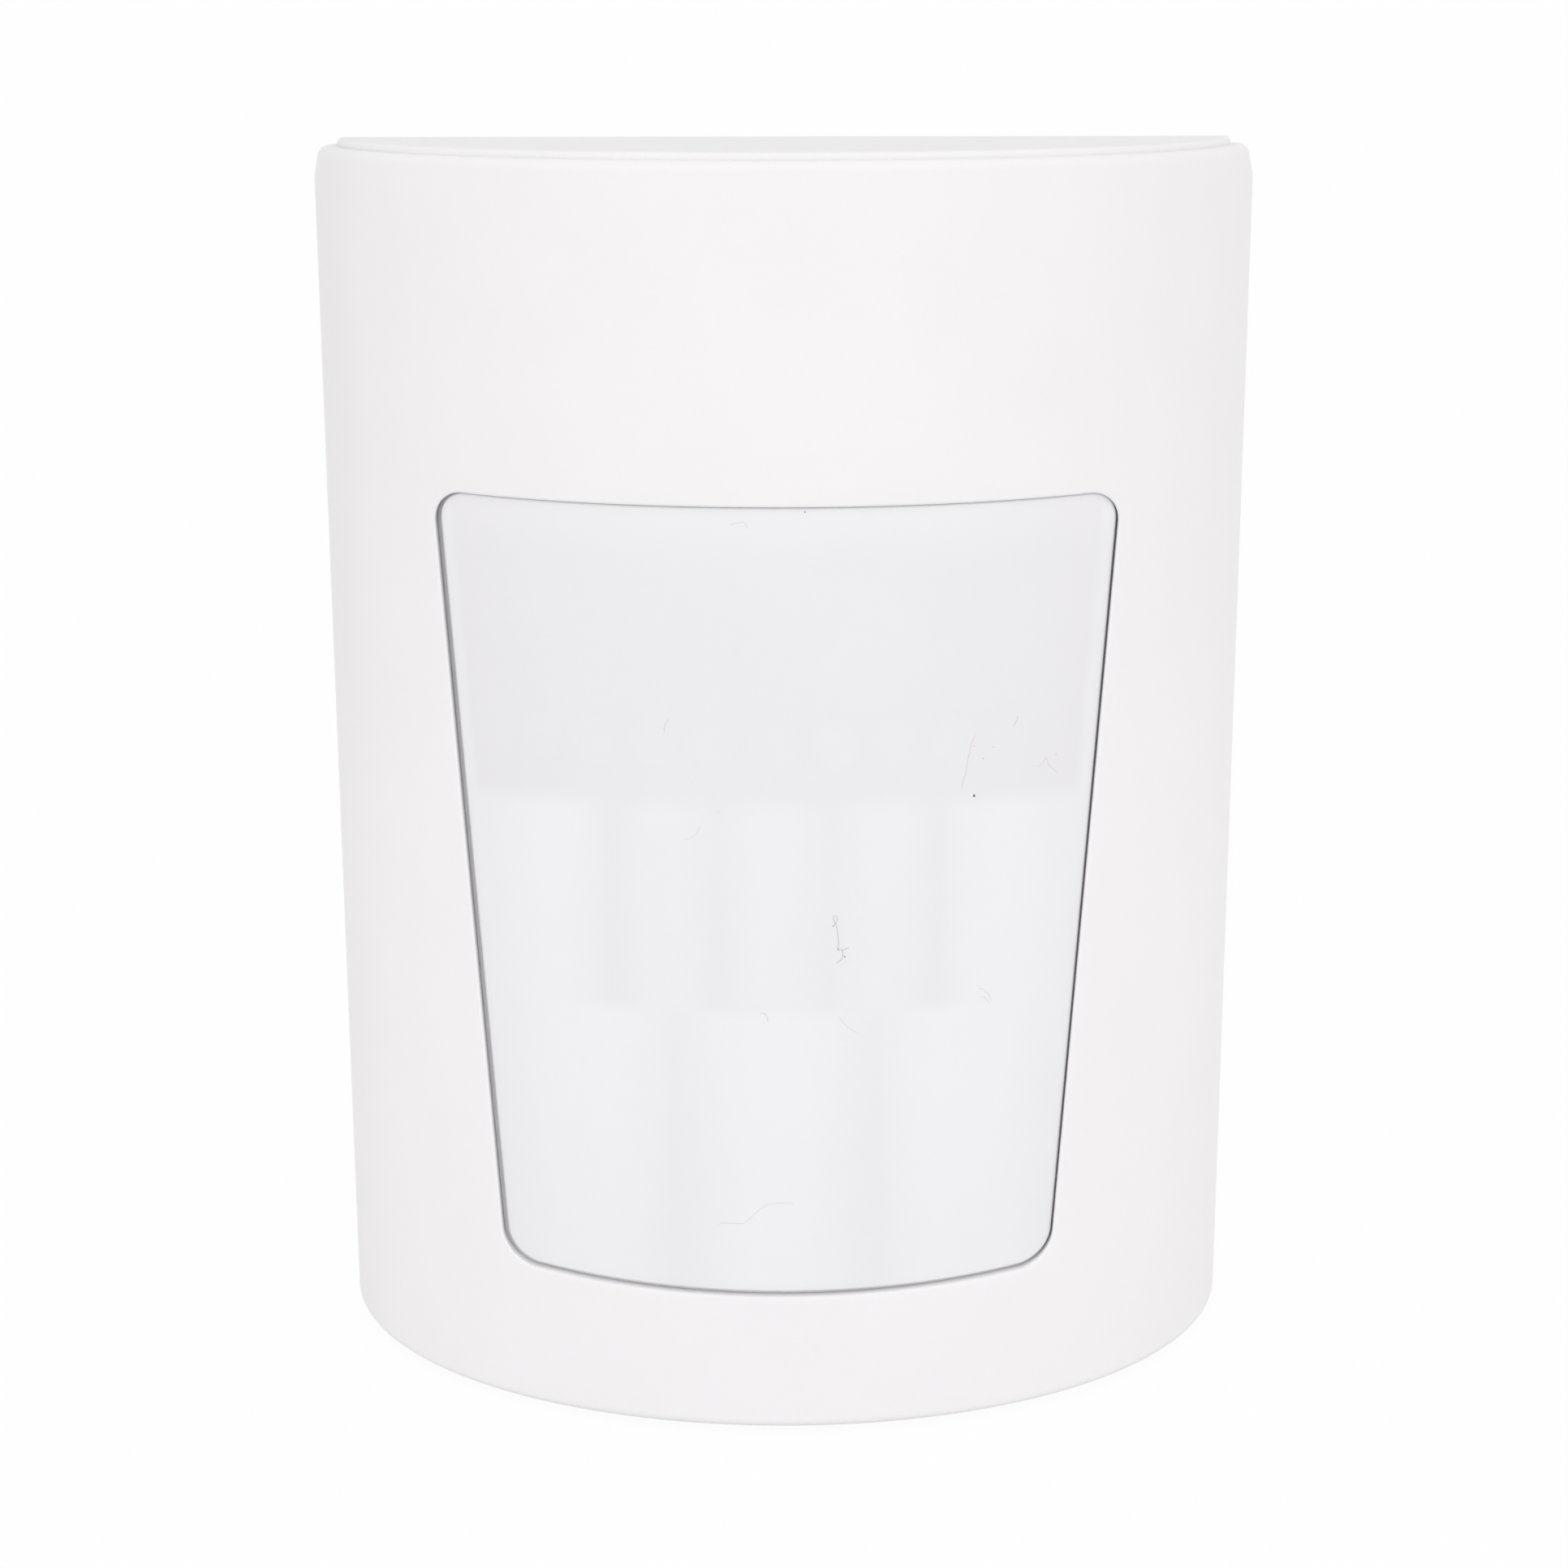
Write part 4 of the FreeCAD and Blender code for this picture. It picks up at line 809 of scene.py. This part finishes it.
def lens_finish():
    """Milky sheet with the light and shade of its inner face's panels painted into its colour."""
    finish = Finish("milky_lens_with_painted_shade")
    x, y, z = finish.axes()
    angle = finish.maths("ARCTAN2", x, AXIS / MM - y) * (180 / math.pi)
    turn = finish.maths("ABSOLUTE", angle)
    rows = lens_rows(finish, x, z, turn)
    shades = (top_shade(finish, angle, turn, z), panel_shade(finish, angle, turn, MIDDLE_PANELS),
              panel_shade(finish, angle, turn, LOW_PANELS))
    # painted light along the lens's top edge
    level = 1 + finish.ramp(z, *PAINTED_TOP_LIGHT_HEIGHTS, 0, PAINTED_TOP_LIGHT_LEVEL)
    for row, shade, upper, lower, (high, low) in zip(rows, shades, ROW_HEIGHTS, ROW_HEIGHTS[1:], PAINTED_ROW_LEVELS):
        # each row's painted light and shade go into the colour
        level = level + row * (finish.ramp(z, lower, upper, low, high) - shade)
    grain = finish.noise(0.18, 2.0, 0.6)
    cloud = finish.noise(6.0, 2.0)
    level = level + finish.ramp(cloud, *CLOUD_SPREAD, *LENS_CLOUD) + (grain - 0.5) * LENS_GRAIN
    colour = finish.blend(rows[0] * finish.ramp(turn, *WARM_ANGLES), LENS_WHITE, LENS_WARM)
    return finish.set(Base_Color=finish.tone(colour, level),
                      Roughness=finish.ramp(grain, *GRAIN_SPREAD, *LENS_ROUGHNESS),
                      Normal=finish.bump(grain, 0.2, 0.01))


lens_material = lens_finish()
print("finish:", lens_material.name)

# %% [markdown]
# ## Inner pieces
# The pieces inside are seen when the part is opened or cut. Each gets its real finish from one recipe: a base
# colour, how metallic and rough it is, the size of its grain and how strongly that grain varies the colour
# and lifts the surface.

# %% Finishes of the inner pieces
def plain_finish(name, colour, metallic, roughness, grain_size, vary, lift):
    """Finish with a grain that varies its colour, its roughness and its surface."""
    finish = Finish(name + "_finish")
    grain = finish.noise(grain_size, 3.0, 0.55)
    shade = finish.tone(colour, 1 + (grain - 0.5) * vary)
    return finish.set(Base_Color=shade, Metallic=metallic,
                      Roughness=finish.ramp(grain, *GRAIN_SPREAD, roughness * 0.85, roughness * 1.15),
                      Normal=finish.bump(grain, 0.2, lift))


RECIPES = {
    "zinc_steel": ((0.60, 0.61, 0.62), 1.0, 0.34, 0.5, 0.20, 0.010),
    "green_board": ((0.016, 0.105, 0.045), 0.0, 0.38, 0.9, 0.25, 0.012),
    "nickel_can": ((0.66, 0.64, 0.60), 1.0, 0.24, 0.6, 0.08, 0.004),
    "dark_filter": ((0.012, 0.012, 0.016), 0.0, 0.12, 0.8, 0.15, 0.002),
    "tinned_leads": ((0.68, 0.68, 0.69), 1.0, 0.30, 0.3, 0.12, 0.006),
    "soft_seal": ((0.045, 0.045, 0.048), 0.0, 0.85, 0.35, 0.45, 0.060),
    "black_package": ((0.020, 0.020, 0.022), 0.0, 0.55, 0.12, 0.30, 0.010),
    "relay_shell": ((0.70, 0.69, 0.65), 0.0, 0.42, 0.3, 0.05, 0.008),
    "terminal_plastic": ((0.030, 0.170, 0.085), 0.0, 0.40, 0.3, 0.12, 0.010),
    "brass_clamps": ((0.72, 0.60, 0.38), 1.0, 0.33, 0.4, 0.14, 0.008),
    "button_plastic": ((0.035, 0.035, 0.037), 0.0, 0.45, 0.3, 0.15, 0.008),
    "capacitor_sleeve": ((0.020, 0.030, 0.075), 0.0, 0.30, 0.7, 0.18, 0.010),
    "lamp_lens": ((0.45, 0.020, 0.018), 0.0, 0.18, 0.6, 0.10, 0.003),
    "gold_pins": ((0.86, 0.68, 0.34), 1.0, 0.24, 0.3, 0.08, 0.004),
    "resistor_chip": ((0.028, 0.028, 0.031), 0.0, 0.40, 0.15, 0.30, 0.008),
    "ceramic_chip": ((0.42, 0.30, 0.19), 0.0, 0.48, 0.15, 0.18, 0.008),
}
materials = {slot: plain_finish(slot, *recipe) for slot, recipe in RECIPES.items()}
materials["white_housing"] = housing
materials["milky_lens"] = lens_material
DUST = {"brown_hair": (0.76, 0.60, 0.51), "grey_dust": (0.47, 0.46, 0.50), "dark_dust": (0.20, 0.195, 0.23),
        "pale_dust": (0.74, 0.73, 0.73), "tan_dust": (0.60, 0.56, 0.50)}
dust_materials = {name: plain_finish(name, colour, 0.0, 0.8, 0.1, 0.2, 0.004)
                  for name, colour in DUST.items()}
print("made", len(materials) + len(dust_materials), "finishes")

# %% Finishes on the pieces
for part in frame["record"]["subparts"]:
    mesh = nodes[part["node"]].data
    mesh.materials.clear()
    mesh.materials.append(materials[part["material_slot"]])
for piece, colour in dust:
    piece.data.materials.append(dust_materials[colour])
front_cover.data.materials.append(housing)
fresnel_lens.data.materials.append(lens_material)
print("dressed", len(nodes), "nodes and", len(dust) + 2, "new pieces")

# %% [markdown]
# ## Floor and backdrop
# The detector stands on its flat lower end, on a white sweep of paper that curves up behind it. The sheet is
# one edge, extruded forwards and spun up behind, so there is no corner to see. Towards the camera the paper
# is mostly plain white, and a share of it still takes light, so that the soft shadow stays.

# %% White paper sweep
FLOOR = -44.9 * MM
SWEEP_HALF = 1.6
SWEEP_BACK = 0.55
SWEEP_LENGTH = 2.2
SWEEP_BEND = 0.4
SWEEP_RISE = 1.2
SWEEP_STEPS = 24
PAPER_WHITE = 0.95


def lay_along(bm, edges, step):
    """Extrude edges into a strip and move the new ones by a step."""
    made = bmesh.ops.extrude_edge_only(bm, edges=edges)["geom"]
    bmesh.ops.translate(bm, verts=[item for item in made if isinstance(item, bmesh.types.BMVert)], vec=step)


def paper_sweep():
    """Floor that curves up into a backdrop."""
    bm = bmesh.new()
    ends = [bm.verts.new((side * SWEEP_HALF, SWEEP_BACK, FLOOR)) for side in (-1, 1)]
    edge = bm.edges.new(ends)
    lay_along(bm, [edge], (0, -SWEEP_LENGTH, 0))
    swept = bmesh.ops.spin(bm, geom=[edge], cent=(0, SWEEP_BACK, FLOOR + SWEEP_BEND), axis=(1, 0, 0),
                           angle=math.pi / 2, steps=SWEEP_STEPS, use_merge=False)["geom_last"]
    lay_along(bm, [item for item in swept if isinstance(item, bmesh.types.BMEdge)], (0, 0, SWEEP_RISE))
    for face in bm.faces:
        face.smooth = True
    bmesh.ops.recalc_face_normals(bm, faces=bm.faces)
    mesh = bpy.data.meshes.new("paper_sweep")
    bm.to_mesh(mesh)
    bm.free()
    sweep = bpy.data.objects.new("paper_sweep", mesh)
    bpy.context.scene.collection.objects.link(sweep)
    return sweep


def paper_finish():
    """White paper, mostly plain white for the camera and mirrors, and lit paper for the rest."""
    finish = Finish("white_paper")
    finish.set(Base_Color=(0.9, 0.9, 0.9, 1), Roughness=0.9)
    path = finish.tree.nodes.new("ShaderNodeLightPath")
    seen = [Wire(finish, path.outputs[name]) for name in
            ("Is Camera Ray", "Is Glossy Ray", "Is Transmission Ray")]
    shown = finish.maths("MINIMUM", seen[0] + seen[1] + seen[2], 1)
    glow = finish.node("ShaderNodeEmission", {}, {"Color": (1, 1, 1, 1), "Strength": 1.0})
    mixed = finish.node("ShaderNodeMixShader", {}, {0: shown * PAPER_WHITE, 2: glow})
    finish.tree.links.new(finish.surface.outputs["BSDF"], mixed.socket.node.inputs[1])
    output = next(node for node in finish.tree.nodes if node.type == "OUTPUT_MATERIAL")
    finish.tree.links.new(mixed.socket, output.inputs["Surface"])
    return finish.material


paper = paper_sweep()
paper.data.materials.append(paper_finish())
print("paper sweep faces:", len(paper.data.polygons))

# %% [markdown]
# ## Light
# The picture was lit by a soft, even light from the front, with hardly any shadow: the middle of the cover is
# almost white, and its sides fall off by a few levels. A pale sky gives the even part, and two large square
# lamps above the camera, the right one a little stronger, give the fall-off.

# %% Sky and lamps
SKY_LEVEL = 0.883
SKY_COLOUR = (1.0, 0.998, 0.996, 1)
LAMP_SIZE = 0.9
LAMP_PLACE = (0.50, -0.745, 0.54)


def pale_sky():
    """Even light all round, plain white where the camera sees it."""
    world = bpy.data.worlds.new("pale_sky")
    bpy.context.scene.world = world
    world.use_nodes = True
    tree = world.node_tree
    tree.nodes.clear()
    path = tree.nodes.new("ShaderNodeLightPath")
    light = tree.nodes.new("ShaderNodeBackground")
    light.inputs["Color"].default_value = SKY_COLOUR
    light.inputs["Strength"].default_value = SKY_LEVEL
    white = tree.nodes.new("ShaderNodeBackground")
    white.inputs["Color"].default_value = (1, 1, 1, 1)
    white.inputs["Strength"].default_value = 1.0
    mixed = tree.nodes.new("ShaderNodeMixShader")
    output = tree.nodes.new("ShaderNodeOutputWorld")
    tree.links.new(path.outputs["Is Camera Ray"], mixed.inputs[0])
    tree.links.new(light.outputs[0], mixed.inputs[1])
    tree.links.new(white.outputs[0], mixed.inputs[2])
    tree.links.new(mixed.outputs[0], output.inputs["Surface"])


def soft_lamp(name, side, power):
    """Large square lamp on one side, facing the detector."""
    lamp = bpy.data.lights.new(name, "AREA")
    lamp.shape = "RECTANGLE"
    lamp.size = lamp.size_y = LAMP_SIZE
    lamp.energy = power
    holder = bpy.data.objects.new(name, lamp)
    holder.location = (side * LAMP_PLACE[0], LAMP_PLACE[1], LAMP_PLACE[2])
    holder.rotation_euler = (-holder.location).to_track_quat("-Z", "Y").to_euler()
    bpy.context.scene.collection.objects.link(holder)
    print(name, "gives", power, "W")


pale_sky()
soft_lamp("left_lamp", -1, 1.15)
soft_lamp("right_lamp", 1, 1.52)

# %% [markdown]
# ## Camera
# The camera stands close, a little above the detector's top, and looks down at it. Its place and lens come
# from fitting the cover's outline and the window's edges in the photograph.

# %% Camera
FOCAL = 85.889
SENSOR = 36.0
CLIP_START = 0.01
CAMERA_PLACE = (6.599 * MM, -282.554 * MM, 54.416 * MM)
YAW, PITCH, ROLL = 0.0235, 0.2051, -0.0024


def camera_turn():
    """The camera's axes from its yaw, its tilt down and its roll."""
    right = Vector((math.cos(YAW), math.sin(YAW), 0))
    ahead = Vector((-math.sin(YAW) * math.cos(PITCH), math.cos(YAW) * math.cos(PITCH), -math.sin(PITCH)))
    up = right.cross(ahead)
    level_right = math.cos(ROLL) * right + math.sin(ROLL) * up
    level_up = math.cos(ROLL) * up - math.sin(ROLL) * right
    return Matrix((level_right, level_up, -ahead)).transposed().to_4x4()


camera_data = bpy.data.cameras.new("photo_camera")
camera_data.lens = FOCAL
camera_data.sensor_width = SENSOR
camera_data.clip_start = CLIP_START
camera = bpy.data.objects.new("photo_camera", camera_data)
camera.matrix_world = Matrix.Translation(CAMERA_PLACE) @ camera_turn()
bpy.context.scene.collection.objects.link(camera)
bpy.context.scene.camera = camera
bpy.context.scene.view_settings.view_transform = "Standard"
print("the camera looks down by", round(math.degrees(PITCH), 1), "degrees")
